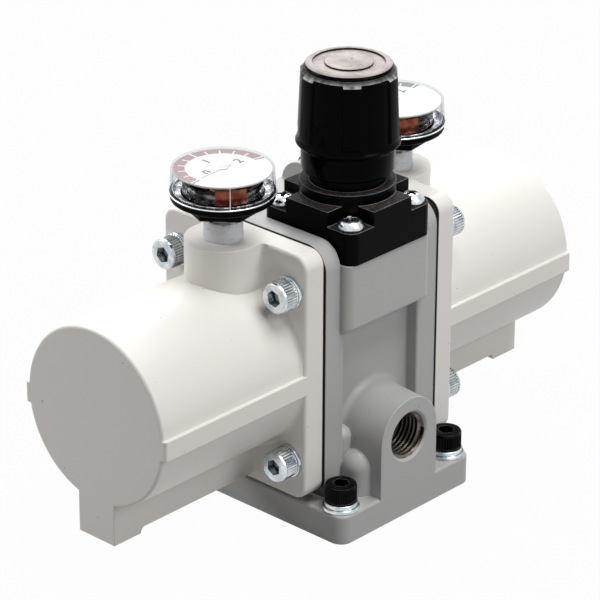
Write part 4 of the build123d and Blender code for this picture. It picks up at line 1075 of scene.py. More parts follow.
FINISHES: dict[Slot | Coat, Finish] = {
    Slot.BODY_PAINT: CastPaint(
        "grey_casting", colour=(0.43, 0.428, 0.424), edge_colour=(0.80, 0.80, 0.795),
        edge=0.3, peel=0.5, depth=0.018, specks=0.765,
    ),
    Slot.COVER_PAINT: CastPaint(
        "pale_casting", colour=(0.80, 0.77, 0.73), edge_colour=(0.97, 0.95, 0.92),
        edge=0.4, peel=0.8, depth=0.014, specks=0.785,
    ),
    Slot.GASKET: SoftRubber("gasket_sheet", colour=(0.003, 0.003, 0.003)),
    Slot.ZINC_STEEL: PlatedSteel(
        "zinc_plate", colour=(0.70, 0.725, 0.74), tint=(0.48, 0.545, 0.585), gloss=0.12,
        edge=0.09, depth=0.0012, stain=0.3, cavity=0.96, reach=2.2,
    ),
    Slot.BLACK_STEEL: Blackened("black_oxide"),
    Slot.STEEL: PlatedSteel(
        "turned_steel", colour=(0.56, 0.57, 0.58), tint=(0.42, 0.42, 0.43), gloss=0.26,
    ),
    Slot.CHROME_ROD: PlatedSteel(
        "chrome", colour=(0.80, 0.81, 0.82), tint=(0.70, 0.72, 0.74), gloss=0.06, edge=0.1, depth=0.002,
    ),
    Slot.ALUMINIUM: PlatedSteel(
        "turned_aluminium", colour=(0.72, 0.72, 0.73), tint=(0.62, 0.62, 0.63), gloss=0.3,
    ),
    Slot.BRASS: PlatedSteel(
        "turned_brass", colour=(0.72, 0.52, 0.24), tint=(0.60, 0.42, 0.18), gloss=0.25,
    ),
    Slot.SEAL_RUBBER: SoftRubber("seal_rubber"),
    Slot.BLACK_PLASTIC: MouldedPlastic(
        "bonnet_plastic", colour=(0.0008, 0.0008, 0.001), bloom=(0.09, 0.078, 0.074),
        rim=(0.55, 0.55, 0.56), gloss=0.3, edge=0.32, shine=0.035, bloom_above=81.0, fleck=0.8,
    ),
    Slot.SPRING_STEEL: PlatedSteel(
        "spring_wire", colour=(0.36, 0.36, 0.37), tint=(0.25, 0.26, 0.28), gloss=0.3,
    ),
    Slot.THREAD_TAPE: SealingTape("sealing_tape"),
    Slot.LENS: ClearCover("clear_lens"),
    Slot.DIAL: PrintedCard("dial_card", colour=(0.80, 0.80, 0.795)),
    Slot.POINTER: PrintedCard("pointer_paint", colour=(0.78, 0.70, 0.69), gloss=0.35),
    Slot.COPPER_TUBE: PlatedSteel(
        "copper_tube", colour=(0.26, 0.075, 0.04), tint=(0.12, 0.035, 0.022), gloss=0.25,
        edge=0.1, depth=0.01,
    ),
    Coat.CUP_LINER: PlatedSteel(
        "cup_liner", colour=(0.78, 0.79, 0.81), tint=(0.16, 0.165, 0.18), gloss=0.16,
        edge=0.1, depth=0.02, stain=0.7, cavity=0.3,
    ),
    # The tube is drawn dark grey, except for the copper stretch at the front.
    Coat.DARK_TUBE: PlatedSteel(
        "tarnished_tube", colour=(0.20, 0.19, 0.19), tint=(0.03, 0.03, 0.034), gloss=0.12,
        edge=0.1, depth=0.02, stain=0.6, cavity=0.5,
    ),
    Coat.LENS_SEAM: PrintedCard("lens_seam", colour=(0.86, 0.86, 0.87), gloss=0.2),
    Coat.KNOB_SKIN: MouldedPlastic(
        "knob_plastic", colour=(0.0006, 0.0006, 0.0008), bloom=(0.6, 0.535, 0.517),
        rim=(0.45, 0.45, 0.46), gloss=0.13, edge=0.26, shine=0.03, bloom_above=122.2, fleck=0.12,
        grain=1.2, depth=0.006, sheen_z=(119.9, 121.8),
    ),
    Coat.PORT_THREAD: PlatedSteel(
        "cut_thread", colour=(0.16, 0.138, 0.115), tint=(0.07, 0.063, 0.056), gloss=0.24,
        cavity=0.98, reach=6.0,
    ),
    Coat.CASE_ENAMEL: Blackened("case_enamel", worn=(0.05, 0.05, 0.052), gloss=0.3, shine=0.03),
    Coat.DARK_RING: Blackened(
        "dark_ring", colour=(0.004, 0.004, 0.0045), worn=(0.02, 0.02, 0.021), gloss=0.25,
    ),
    Coat.BRIGHT_RING: PlatedSteel(
        "bright_ring", colour=(0.90, 0.91, 0.92), tint=(0.84, 0.86, 0.88), gloss=0.12,
        edge=0.1, depth=0.003,
    ),
    Coat.LEFT_BAND: PrintedCard("left_band_print", colour=(0.36, 0.235, 0.225)),
    Coat.RIGHT_BAND: PrintedCard("right_band_print", colour=(0.20, 0.20, 0.21)),
    Coat.DIAL_INK: PrintedCard("dial_ink", colour=(0.16, 0.15, 0.155)),
    Coat.DIAL_MARK: PrintedCard("dial_mark", colour=(0.86, 0.86, 0.86)),
    Coat.LINK_ENAMEL: PrintedCard("link_enamel", colour=(0.75, 0.10, 0.03), gloss=0.3),
}


class PaintShop:
    """Keeps one material for every finish and paints pieces and CAD nodes with them."""

    def __init__(self) -> None:
        """Open the shop with no paint mixed."""
        self.mixed: dict[Slot | Coat, bpy.types.Material] = {}

    def paint(self, piece: Piece, finish: Slot | Coat) -> Piece:
        """Paint a piece all over.

        Args:
            piece: The piece to paint.
            finish: The slot whose finish it takes, or a coat of its own.

        Returns:
            The same piece.
        """
        if finish not in self.mixed:
            self.mixed[finish] = FINISHES[finish].mix()
        piece.data.materials.clear()
        piece.data.materials.append(self.mixed[finish])
        return piece

    def paint_nodes(self, frame: dict) -> None:
        """Paint every CAD node by its slot in the record."""
        for entry in frame["record"]["subparts"]:
            self.paint(frame["nodes"][entry["node"]], Slot(entry["material_slot"]))


@dataclass
class Assembly:
    """A group of pieces that are made, painted and fitted together."""

    shop: PaintShop
    made: list[Piece] = field(default_factory=list, init=False)

    def fit(
        self, piece: Piece, slot: Slot, body: str = "housing", nodes: Sequence[str] = (),
        coat: Coat | None = None,
    ) -> Piece:
        """Paint a finished piece, put it on its body and let it stand for its CAD nodes.

        Args:
            piece: The finished piece.
            slot: The record's slot that it belongs to.
            body: The CAD body that carries it.
            nodes: The CAD nodes that it stands for.
            coat: Its finish, where it isn't the slot's own.

        Returns:
            The same piece.
        """
        self.shop.paint(piece, coat or slot)
        if nodes:
            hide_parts(*nodes)
        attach(piece, body)
        self.made.append(piece)
        LOG.info("%s: %d faces on %s", piece.name, len(piece.data.polygons), body)
        return piece

    def build(self) -> None:
        """Make and fit every piece of the group."""
        raise NotImplementedError


@dataclass
class Castings(Assembly):
    """The painted castings and the bonnet, welded from their CAD nodes, and the port threads.

    crest_land and root_end are shares of the pitch. The first turn fades in over fade degrees.
    """

    thread_pitch: float = 1.337
    thread_root: float = 6.57
    thread_crest: float = 5.78
    thread_gap: float = 0.02
    crest_land: tuple[float, float] = (0.42, 0.56)
    root_end: float = 0.98
    exhaust: Point = (0.0, -36.1, 23.0)
    exhaust_turns: int = 11
    rear_x: float = 11.2
    rear_y: float = 26.8
    rear_z: float = 29.0
    rear_turns: int = 9
    mouth: float = 0.3
    fade: float = 75.0
    fade_steps: int = 5

    def build(self) -> None:
        """Weld the castings and cut their threads."""
        for node in ("left_cylinder_cover", "right_cylinder_cover"):
            self.fit(Bench.weld_copy(node), Slot.COVER_PAINT, nodes=[node])
        self.fit(Bench.weld_copy("centre_body"), Slot.BODY_PAINT, nodes=["centre_body"])
        self.fit(Bench.weld_copy("bonnet"), Slot.BLACK_PLASTIC, nodes=["bonnet"])
        x, y, z = self.exhaust
        front = self.thread("exhaust_port_thread", self.exhaust_turns)
        Bench.place(front, (x, y + self.mouth, z), -90, Axis.X)
        self.fit(front, Slot.BODY_PAINT, coat=Coat.PORT_THREAD)
        for side, name in ((-1, "outlet_port_thread"), (1, "inlet_port_thread")):
            rear = self.thread(name, self.rear_turns)
            Bench.place(rear, (side * self.rear_x, self.rear_y - self.mouth, self.rear_z), 90, Axis.X)
            self.fit(rear, Slot.BODY_PAINT, coat=Coat.PORT_THREAD)

    def thread(self, name: str, turns: int) -> Piece:
        """Wind an internal pipe thread up the Z axis, its first turn faded in.

        Args:
            name: The thread's name.
            turns: How many turns it has.

        Returns:
            The thread.
        """
        root, crest, pitch, gap = self.thread_root, self.thread_crest, self.thread_pitch, self.thread_gap
        land_low, land_high = self.crest_land
        section = [
            (root, gap), (crest, pitch * land_low), (crest, pitch * land_high),
            (root, pitch * self.root_end), (root, gap),
        ]
        piece = Bench.wind(name, section, pitch, turns, steps=40)
        for step in range(self.fade_steps):
            start = self.fade * step / self.fade_steps
            end = self.fade * (step + 1) / self.fade_steps
            grow = 1 + (root / crest - 1) * (1 - (step + 0.5) / self.fade_steps)
            with Bench.editing(piece, pick=partial(self.on_lead, start=start, end=end)):
                bpy.ops.transform.resize(value=(grow, grow, 1), center_override=(0, 0, 0))
        return Bench.smooth(piece, crease=30)

    def on_lead(self, vert: bmesh.types.BMVert, start: float, end: float) -> bool:
        """Tell whether a vertex is on the crest of a stretch of the first turn.

        Args:
            vert: The vertex.
            start: The angle at which the stretch starts, in degrees.
            end: The angle at which it ends.

        Returns:
            Whether it is there.
        """
        turn = math.degrees(math.atan2(vert.co.y, vert.co.x)) % 360
        on_crest = vert.co.xy.length < (self.thread_crest + 0.05) * MM
        return on_crest and start <= turn < end and vert.co.z < self.thread_pitch * 0.9 * MM


@dataclass(frozen=True)
class Yielding:
    """A soft piece, its slot, the joint beside it and that joint's travel."""

    node: str
    slot: Slot
    joint: str
    travel: float


@dataclass
class SoftParts(Assembly):
    """The springs and the diaphragm, welded from their CAD nodes."""

    parts: tuple[Yielding, ...] = (
        Yielding("adjusting_spring", Slot.SPRING_STEEL, "seat_feed", 5.1),
        Yielding("governor_valve_spring", Slot.SPRING_STEEL, "valve_lift", 0.8),
        Yielding("diaphragm", Slot.SEAL_RUBBER, "diaphragm_lift", 0.78),
    )

    def build(self) -> None:
        """Weld every soft part and give it a mesh of its own."""
        for part in self.parts:
            low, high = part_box(part.node)
            piece = self.fit(Bench.weld_copy(part.node), part.slot, nodes=[part.node])
            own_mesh(piece)


@dataclass
class SocketScrews(Assembly):
    """The knurled socket head screws with their spring washers and flat washers.

    A spin is the turn about its own axis, in degrees, by which a copy differs from the one before.
    """

    head_r: float = 4.25
    head_height: float = 5.0
    shank_r: float = 2.5
    tip: float = 0.5
    knurl_low: float = 0.55
    knurl_high: float = 4.1
    knurl_depth: float = 0.3
    ridges: int = 34
    socket_across: float = 4.0
    socket_depth: float = 2.6
    socket_turn: float = 11.0
    drill_depth: float = 0.7
    drill_share: float = 0.15
    cover_y: float = 20.0
    cover_z: tuple[float, float] = (21.3, 69.7)
    cover_head_x: float = 30.3
    cover_washer_x: float = 29.1
    cover_length: float = 14.0
    cover_screw_spin: float = 17.0
    cover_washer_spin: float = 50.0
    base_x: float = 21.1
    base_y: float = 31.0
    base_top: float = 8.2
    base_length: float = 10.0
    base_spin: float = 23.0
    washer_hole_r: float = 2.65
    washer_r: float = 4.5
    washer_thickness: float = 1.2
    washer_edge: float = 0.12
    split: float = 14.0
    flat_r: float = 5.0
    flat_thickness: float = 1.0
    flat_edge: float = 0.15

    def build(self) -> None:
        """Model one screw and one washer of each kind, and copy them to their places."""
        cover_screw = self.screw("cover_screw", self.cover_length)
        base_screw = self.screw("base_screw", self.base_length)
        spring, flat = self.spring_washer(), self.flat_washer()
        self.fit_covers(cover_screw, spring)
        self.fit_base(base_screw, spring, flat)
        for model in (cover_screw, base_screw, spring, flat):
            Bench.drop(model)

    def fit_covers(self, screw: Piece, washer: Piece) -> None:
        """Put four screws with their spring washers through the flange of each cover.

        Args:
            screw: The model of the screw.
            washer: The model of the spring washer.
        """
        rows = (
            (screw, "cover_screw", self.cover_head_x, self.cover_screw_spin),
            (washer, "cover_spring_washer", self.cover_washer_x, self.cover_washer_spin),
        )
        places = product((-1, 1), (-self.cover_y, self.cover_y), self.cover_z)
        for count, (side, y, z) in enumerate(places, 1):
            for model, name, x, spin in rows:
                piece = Bench.place(Bench.copy(model, f"{name}_{count}"), turn=spin * count)
                Bench.place(piece, (side * x, y, z), side * 90, Axis.Y)
                self.fit(piece, Slot.ZINC_STEEL, nodes=[f"{name}s"])

    def fit_base(self, screw: Piece, spring: Piece, flat: Piece) -> None:
        """Put a screw with its two washers through each corner of the base.

        Args:
            screw: The model of the screw.
            spring: The model of the spring washer.
            flat: The model of the flat washer.
        """
        spring_z = self.base_top + self.flat_thickness
        rows = (
            (screw, "base_screw", spring_z + self.washer_thickness, Slot.BLACK_STEEL),
            (spring, "base_spring_washer", spring_z, Slot.ZINC_STEEL),
            (flat, "base_flat_washer", self.base_top, Slot.ZINC_STEEL),
        )
        for count, (x, y) in enumerate(CORNERS, 1):
            for model, name, z, slot in rows:
                at = (x * self.base_x, y * self.base_y, z)
                piece = Bench.place(Bench.copy(model, f"{name}_{count}"), at, self.base_spin * count)
                self.fit(piece, slot, nodes=[f"{name}s"])

    def screw(self, name: str, length: float) -> Piece:
        """Model a screw that stands on Z = 0 with its shank below.

        Args:
            name: The screw's name.
            length: The shank's length.

        Returns:
            The screw.
        """
        r, top, neck, tip = self.head_r, self.head_height, self.shank_r, self.tip
        shank = [(0, -length), (neck - tip, -length), (neck, tip - length), (neck, 0)]
        foot = [(r - 0.3, 0), (r - 0.05, 0.2), (r, 0.4)]
        side = [(r, self.knurl_low), (r, self.knurl_high), (r, self.knurl_high + 0.12)]
        crown = [
            (r - 0.06, top - 0.42), (r - 0.22, top - 0.16), (r - 0.5, top - 0.02), (r - 0.7, top), (0, top),
        ]
        piece = Bench.turn(name, shank + foot + side + crown, steps=2 * self.ridges)
        shrink = 1 - self.knurl_depth / r
        with Bench.editing(piece, pick=self.in_valley):
            bpy.ops.transform.resize(value=(shrink, shrink, 1), center_override=(0, 0, 0))
        Bench.cut(piece, self.socket_tool())
        return Bench.smooth(piece, crease=28)

    def in_valley(self, vert: bmesh.types.BMVert) -> bool:
        """Tell whether a vertex is at the foot of a knurl.

        Args:
            vert: The vertex.

        Returns:
            Whether it is there.
        """
        place = round(math.atan2(vert.co.y, vert.co.x) / (math.pi / self.ridges))
        on_knurl = self.knurl_low - 0.05 < vert.co.z / MM < self.knurl_high + 0.05
        return place % 2 == 0 and on_knurl and vert.co.xy.length > self.head_r * MM * 0.9

    def socket_tool(self) -> Piece:
        """Model the hexagonal broach with its drill point.

        Returns:
            The tool that cuts the socket.
        """
        floor = self.head_height - self.socket_depth
        tool = Bench.hexagon(
            "socket_tool", self.socket_across, floor, self.head_height + 1, self.socket_turn,
        )
        drop, share = self.drill_depth, self.drill_share
        with Bench.editing(tool, Element.FACE, lambda face: face.normal.z < -0.9):
            bpy.ops.mesh.extrude_region_move(TRANSFORM_OT_translate={"value": (0, 0, -drop * MM)})
            bpy.ops.transform.resize(value=(share, share, 1), center_override=(0, 0, (floor - drop) * MM))
        return tool

    def spring_washer(self) -> Piece:
        """Model a split spring washer on Z = 0.

        Returns:
            The washer.
        """
        low_r, high_r, top, edge = self.washer_hole_r, self.washer_r, self.washer_thickness, self.washer_edge
        section = [
            (low_r, edge), (low_r + edge, 0), (high_r - edge, 0), (high_r, edge), (high_r, top - edge),
            (high_r - edge, top), (low_r + edge, top), (low_r, top - edge), (low_r, edge),
        ]
        piece = Bench.turn("spring_washer", section, steps=56, sweep=360 - self.split)
        return Bench.smooth(piece, crease=40)

    def flat_washer(self) -> Piece:
        """Model a flat washer on Z = 0.

        Returns:
            The washer.
        """
        low_r, high_r, top, edge = self.washer_hole_r, self.flat_r, self.flat_thickness, self.flat_edge
        section = [
            (low_r, 0), (high_r - edge, 0), (high_r, edge), (high_r, top - edge), (high_r - edge, top),
            (low_r + edge, top), (low_r, top - edge), (low_r, 0),
        ]
        return Bench.smooth(Bench.turn("flat_washer", section, steps=64), crease=40)


@dataclass
class PanScrews(Assembly):
    """The four domed cross-recess screws of the bonnet."""

    head_r: float = 3.5
    head_height: float = 2.6
    shank_r: float = 2.0
    length: float = 14.0
    seat_z: float = 83.6
    reach: float = 11.8
    centre_y: float = -13.2
    first_spin: float = 20.0
    spin: float = 33.0
    cross_half: float = 1.9
    arm_half: float = 0.6
    arm_taper: float = 0.5
    depth: float = 1.6

    def build(self) -> None:
        """Model one screw and copy it to the bonnet's corners."""
        model = self.screw()
        for count, (x, y) in enumerate(CORNERS, 1):
            at = (x * self.reach, self.centre_y + y * self.reach, self.seat_z)
            turn = self.spin * count + self.first_spin
            piece = Bench.place(Bench.copy(model, f"bonnet_screw_{count}"), at, turn)
            self.fit(piece, Slot.ZINC_STEEL, nodes=["bonnet_screws"])
        Bench.drop(model)

    def screw(self) -> Piece:
        """Model the screw that stands on Z = 0.

        Returns:
            The screw.
        """
        r, top, neck = self.head_r, self.head_height, self.shank_r
        outline = [
            (0, -self.length), (neck, -self.length), (neck, 0), (r - 0.25, 0), (r - 0.04, 0.15), (r, 0.4),
            (r, 0.75), (r - 0.08, 1.15), (r - 0.3, 1.6), (r - 0.65, 1.98), (r - 1.15, top - 0.34),
            (r - 1.8, top - 0.12), (r - 2.6, top - 0.02), (0, top),
        ]
        piece = Bench.turn("bonnet_screw", outline, steps=56)
        Bench.cut(piece, self.arm(self.cross_half, self.arm_half), self.arm(self.arm_half, self.cross_half))
        return Bench.smooth(Bench.clean(piece), crease=30)

    def arm(self, half_x: float, half_y: float) -> Piece:
        """Model one tapered arm of the cross.

        Args:
            half_x: Half its size along X at the top.
            half_y: Half its size along Y at the top.

        Returns:
            The tool that cuts it.
        """
        top = self.head_height
        floor = top - self.depth
        tool = Bench.slab("cross_arm", (-half_x, -half_y, floor), (half_x, half_y, top + 0.2))
        taper = (self.arm_taper, self.arm_taper, 1)
        with Bench.editing(tool, Element.FACE, lambda face: face.normal.z < -0.9):
            bpy.ops.transform.resize(value=taper, center_override=(0, 0, floor * MM))
        return tool


@dataclass
class SettingKnob(Assembly):
    """The knob: skirt, rim, tapered barrel with proud lands, and a ringed top with its gate mark."""

    centre_y: float = -13.2
    bottom_z: float = 93.3
    rim_z: float = 101.4
    shoulder_z: float = 121.0
    top_z: float = 123.0
    skirt_r: float = 12.35
    rim_r: float = 13.75
    low_r: float = 13.15
    high_r: float = 12.45
    dome_r: float = 11.3
    groove_r: tuple[float, float] = (6.3, 9.4)
    groove_depth: float = 0.6
    inner_r: float = 10.5
    boss_r: float = 6.4
    boss_z: float = 104.6
    cavity_z: float = 119.5
    hex_across: float = 7.0
    hex_top_z: float = 113.2
    gate_at: tuple[float, float] = (1.6, 0.4)
    gate_r: tuple[float, float] = (0.28, 0.5)
    gate_depth: float = 0.12
    lands: int = 6
    land_angle: float = -134.0
    land_half: float = 10.0
    land_proud: float = 0.6
    steps: int = 360

    def build(self) -> None:
        """Turn the knob, raise its lands and broach its socket."""
        piece = Bench.turn("knob_dressed", self.outline(), self.steps)
        proud = 1 + self.land_proud / (self.high_r + 0.2)
        with Bench.editing(piece, pick=self.on_land):
            bpy.ops.transform.resize(value=(proud, proud, 1), center_override=(0, 0, 0))
        with Bench.editing(piece, pick=self.on_land_top):
            bpy.ops.transform.translate(value=(0, 0, -self.land_proud * MM))
        gate = self.gate_tool()
        socket = Bench.hexagon("hex_socket", self.hex_across, self.boss_z - 1, self.hex_top_z)
        Bench.clean(Bench.cut(piece, socket, gate))
        Bench.place(Bench.smooth(piece, crease=24), (0, self.centre_y, 0))
        self.fit(piece, Slot.BLACK_PLASTIC, "knob", ["knob"], Coat.KNOB_SKIN)

    def gate_tool(self) -> Piece:
        """Model the small dent that the moulding gate leaves on the top.

        Returns:
            The tool that cuts it.
        """
        low_r, high_r = self.gate_r
        outline = [(0, -self.gate_depth), (low_r, -self.gate_depth), (high_r, 0.3), (0, 0.3)]
        return Bench.place(Bench.turn("gate_mark", outline, steps=16), (*self.gate_at, self.top_z))

    def outline(self) -> list[tuple[float, float]]:
        """Draw the knob's outline from its inner boss round to its top.

        Returns:
            Points of (radius, height).
        """
        low, rim, shoulder, top = self.bottom_z, self.rim_z, self.shoulder_z, self.top_z
        skirt_r, rim_r, low_r, high_r, dome_r = (
            self.skirt_r, self.rim_r, self.low_r, self.high_r, self.dome_r,
        )
        groove_low, groove_high = self.groove_r
        floor = top - self.groove_depth
        inside = [
            (0, self.boss_z), (self.boss_r, self.boss_z), (self.boss_r, self.cavity_z),
            (self.inner_r, self.cavity_z), (self.inner_r, low + 0.2), (self.inner_r + 0.2, low),
        ]
        skirt = [
            (skirt_r - 1.4, low), (skirt_r - 0.5, low + 0.3), (skirt_r - 0.1, low + 0.9),
            (skirt_r, low + 1.5), (skirt_r, rim - 1.5), (skirt_r + 0.5, rim - 0.9),
        ]
        edge = [
            (rim_r - 0.1, rim - 0.35), (rim_r, rim - 0.2), (rim_r, rim + 0.25), (rim_r - 0.12, rim + 0.42),
            (low_r + 0.35, rim + 0.95), (low_r + 0.06, rim + 1.6), (low_r, rim + 2.1),
        ]
        crown = [
            (high_r, shoulder - 0.45), (high_r - 0.04, shoulder - 0.28), (dome_r + 0.5, shoulder + 0.42),
            (dome_r + 0.3, shoulder + 0.5), (dome_r + 0.26, top - 0.95), (dome_r - 0.02, top - 0.45),
            (dome_r - 0.5, top - 0.12), (dome_r - 1.0, top),
        ]
        groove = [
            (groove_high + 0.12, top), (groove_high, top - 0.12), (groove_high, floor),
            (groove_low + 0.9, floor), (groove_low + 0.75, floor + 0.06), (groove_low + 0.6, floor),
            (groove_low, floor), (groove_low, top - 0.12), (groove_low - 0.14, top - 0.02), (0, top),
        ]
        return inside + skirt + edge + crown + groove

    def on_land_top(self, vert: bmesh.types.BMVert) -> bool:
        """Tell whether a vertex lies on the upper end of a proud land."""
        return self.on_land(vert) and vert.co.z > (self.shoulder_z - 0.6) * MM

    def on_land(self, vert: bmesh.types.BMVert) -> bool:
        """Tell whether a vertex lies on one of the proud lands.

        Args:
            vert: The vertex.

        Returns:
            Whether it is there.
        """
        height = vert.co.z / MM
        radius = vert.co.xy.length / MM
        if not (self.rim_z + 1.8 < height < self.shoulder_z and radius > self.high_r - 0.3):
            return False
        turn = math.degrees(math.atan2(vert.co.y, vert.co.x)) - self.land_angle
        spacing = 360 / self.lands
        return abs((turn + spacing / 2) % spacing - spacing / 2) < self.land_half + 0.1


@dataclass(frozen=True)
class Stand:
    """Where a gauge stands, how its dial and its lens are turned, and how its band is printed."""

    label: str
    x: float
    dial_turn: float
    lens_turn: float
    band: Coat


class Side(Enum):
    """The two gauges."""

    LEFT = Stand("left", x=-33.0, dial_turn=0.0, lens_turn=0.0, band=Coat.LEFT_BAND)
    RIGHT = Stand("right", x=33.0, dial_turn=23.0, lens_turn=-57.5, band=Coat.RIGHT_BAND)


@dataclass(frozen=True)
class Extra:
    """A piece that each gauge has in the scene alone: its model, its looks and its turn."""

    name: str
    model: Piece
    slot: Slot
    coat: Coat | None = None
    turn: float = 0.0


@dataclass(frozen=True)
class Sag:
    """A stretch of the tape's upper edge that hangs lower."""

    angle: float
    width: float
    drop: float


@dataclass(frozen=True)
class Numeral:
    """A number of the scale and its place on the dial."""

    text: str
    angle: float
    radius: float


@dataclass
class Gauges(Assembly):
    """The two pressure gauges, from the threaded stem up to the clear lens.

    The sleeve's heights are above the pan, and angles are in degrees.
    """

    stem_foot: float = 73.4
    boss_z: float = 80.4
    hex_z: float = 88.2
    case_z: float = 91.0
    pan_z: float = 92.9
    ring_z: float = 93.5
    lens_z: float = 100.1
    dial_z: float = 99.45
    stem_r: float = 4.8
    stem_pitch: float = 0.907
    stem_thread_depth: float = 0.45
    tape_r: float = 5.3
    tape_top: float = 86.9
    tape_fray: float = 0.32
    fray_seed: int = 7
    tape_crumple: float = 0.05
    crumple_seed: int = 3
    sags: tuple[Sag, ...] = (
        Sag(-160, 44, 1.1), Sag(-128, 26, 1.9), Sag(-104, 24, 0.9), Sag(-80, 30, 1.5), Sag(-20, 22, 0.7),
        Sag(35, 40, 1.2),
    )
    hex_across: float = 17.9
    hex_turn: float = 39.0
    hex_edge: float = 0.22
    case_r: float = 13.6
    ring_r: float = 13.95
    ring_width: float = 0.9
    bead_width: float = 0.22
    bead_proud: float = 0.02
    lens_low_r: float = 13.7
    lens_high_r: float = 13.35
    lens_wall: float = 0.5
    lens_roof: float = 0.3
    seam_half: float = 0.11
    seam_proud: float = 0.06
    seam_angle: float = -128.0
    dial_r: float = 12.78
    dial_thickness: float = 0.5
    shaft_r: float = 0.5
    zero: float = -175.0
    sweep: float = 195.0
    band_r: tuple[float, float] = (9.75, 12.65)
    band_over: float = 4.0
    print_proud: float = 0.02
    scale: tuple[Numeral, ...] = (Numeral("0", 171, 4.9), Numeral("1", 88, 6.0), Numeral("2", 2, 6.1))
    numeral_size: float = 3.9
    pointer_length: float = 8.6
    pointer_tail: float = 3.0
    pointer_half: float = 0.55
    pointer_taper: float = 0.25
    pointer_z: float = 99.5
    pointer_thickness: float = 0.12
    hub_r: float = 1.3
    tube_r: float = 9.8
    tube_width: float = 1.4
    tube_height: float = 3.4
    tube_edge: float = 0.35
    tube_sweep: float = 260.0
    sleeve_proud: float = 0.12
    sleeve_wall: float = 0.5
    sleeve_z: tuple[float, float] = (0.35, 4.6)
    sleeve_start: float = 213.0
    sleeve_sweep: float = 46.0
    liner_r: float = 10.9
    liner_height: float = 1.1
    post_r: float = 3.4
    arm_length: float = 8.8
    arm_half: float = 1.5
    link_x: tuple[float, float] = (-9.6, -4.6)
    link_half: float = 1.3
    link_thickness: float = 0.8
    link_drop: float = 1.1
    link_foot: float = 1.2
    link_flare: float = 1.5
    link_turn: float = 13.0

    def build(self) -> None:
        """Model one gauge and copy each of its pieces to both places."""
        solids = (
            ("gauge_stem", self.stem(), Slot.STEEL, None),
            ("thread_tape", self.tape(), Slot.THREAD_TAPE, None),
            ("gauge_case", self.case(), Slot.BLACK_STEEL, Coat.CASE_ENAMEL),
            ("gauge_ring", self.ring(), Slot.ALUMINIUM, Coat.DARK_RING),
            ("gauge_lens", self.lens(), Slot.LENS, None),
            ("bourdon_tube", self.tube(), Slot.COPPER_TUBE, Coat.DARK_TUBE),
            ("gauge_movement", self.movement(), Slot.BRASS, None),
            ("gauge_dial", self.dial(), Slot.DIAL, None),
        )
        band, marks, numerals = self.band(), self.marks(), self.numerals()
        pointer, link, seam = self.pointer(), self.link(), self.seam()
        sleeve, bead, liner = self.sleeve(), self.bead(), self.liner()
        for side in Side:
            stand = side.value
            for name, model, slot, coat in solids:
                piece = self.copy_to(stand, f"{name}_dressed", model)
                self.fit(piece, slot, nodes=[f"{stand.label}_{name}"], coat=coat)
            self.fit_extras(stand, (
                Extra("band", band, Slot.DIAL, stand.band, stand.dial_turn),
                Extra("dial_marks", marks, Slot.DIAL, Coat.DIAL_MARK, stand.dial_turn),
                Extra("numerals", numerals, Slot.DIAL, Coat.DIAL_INK, stand.dial_turn),
            ))
            hand = self.copy_to(stand, "pointer_dressed", pointer, self.zero + stand.dial_turn)
            carrier = f"{stand.label}_gauge_pointer"
            self.fit(hand, Slot.POINTER, carrier, [carrier])
            self.fit_extras(stand, (
                Extra("gauge_link", link, Slot.POINTER, Coat.LINK_ENAMEL),
                Extra("lens_seam", seam, Slot.LENS, Coat.LENS_SEAM, stand.lens_turn),
                Extra("cup_liner", liner, Slot.ALUMINIUM, Coat.CUP_LINER),
                Extra("tube_sleeve", sleeve, Slot.COPPER_TUBE),
                Extra("ring_bead", bead, Slot.ALUMINIUM, Coat.BRIGHT_RING),
            ))
        models = [model for _, model, _, _ in solids]
        for model in (*models, band, marks, numerals, pointer, link, seam, sleeve, bead, liner):
            Bench.drop(model)

    def copy_to(self, stand: Stand, name: str, model: Piece, turn: float = 0.0) -> Piece:
        """Copy a model onto the axis of one gauge.

        Args:
            stand: The gauge's stand.
            name: The copy's name without the gauge's own word.
            model: The model.
            turn: Its turn about the axis in degrees.

        Returns:
            The copy.
        """
        return Bench.place(Bench.copy(model, f"{stand.label}_{name}"), (stand.x, 0, 0), turn)

    def fit_extras(self, stand: Stand, extras: Sequence[Extra]) -> None:
        """Fit the pieces of one gauge that stand for no CAD node.

        Args:
            stand: The gauge's stand.
            extras: The pieces.
        """
        for extra in extras:
            piece = self.copy_to(stand, extra.name, extra.model, extra.turn)
            self.fit(piece, extra.slot, coat=extra.coat)

    def stem(self) -> Piece:
        """Model the stem with its outside thread.

        Returns:
            The stem.
        """
        foot, top, crest, pitch = self.stem_foot, self.hex_z, self.stem_r, self.stem_pitch
        core = crest - self.stem_thread_depth
        root = core - 0.05
        rod = Bench.turn("stem", [(0, foot), (core, foot), (core, top), (0, top)], steps=48)
        section = [
            (root, 0.02), (crest, pitch * 0.45), (crest, pitch * 0.55), (root, pitch * 0.98), (root, 0.02),
        ]
        turns = int((top - foot) / pitch) - 1
        thread = Bench.wind("stem_thread", section, pitch, turns, steps=36)
        Bench.place(thread, (0, 0, foot + 0.2))
        return Bench.smooth(Bench.join([rod, thread]), crease=30)

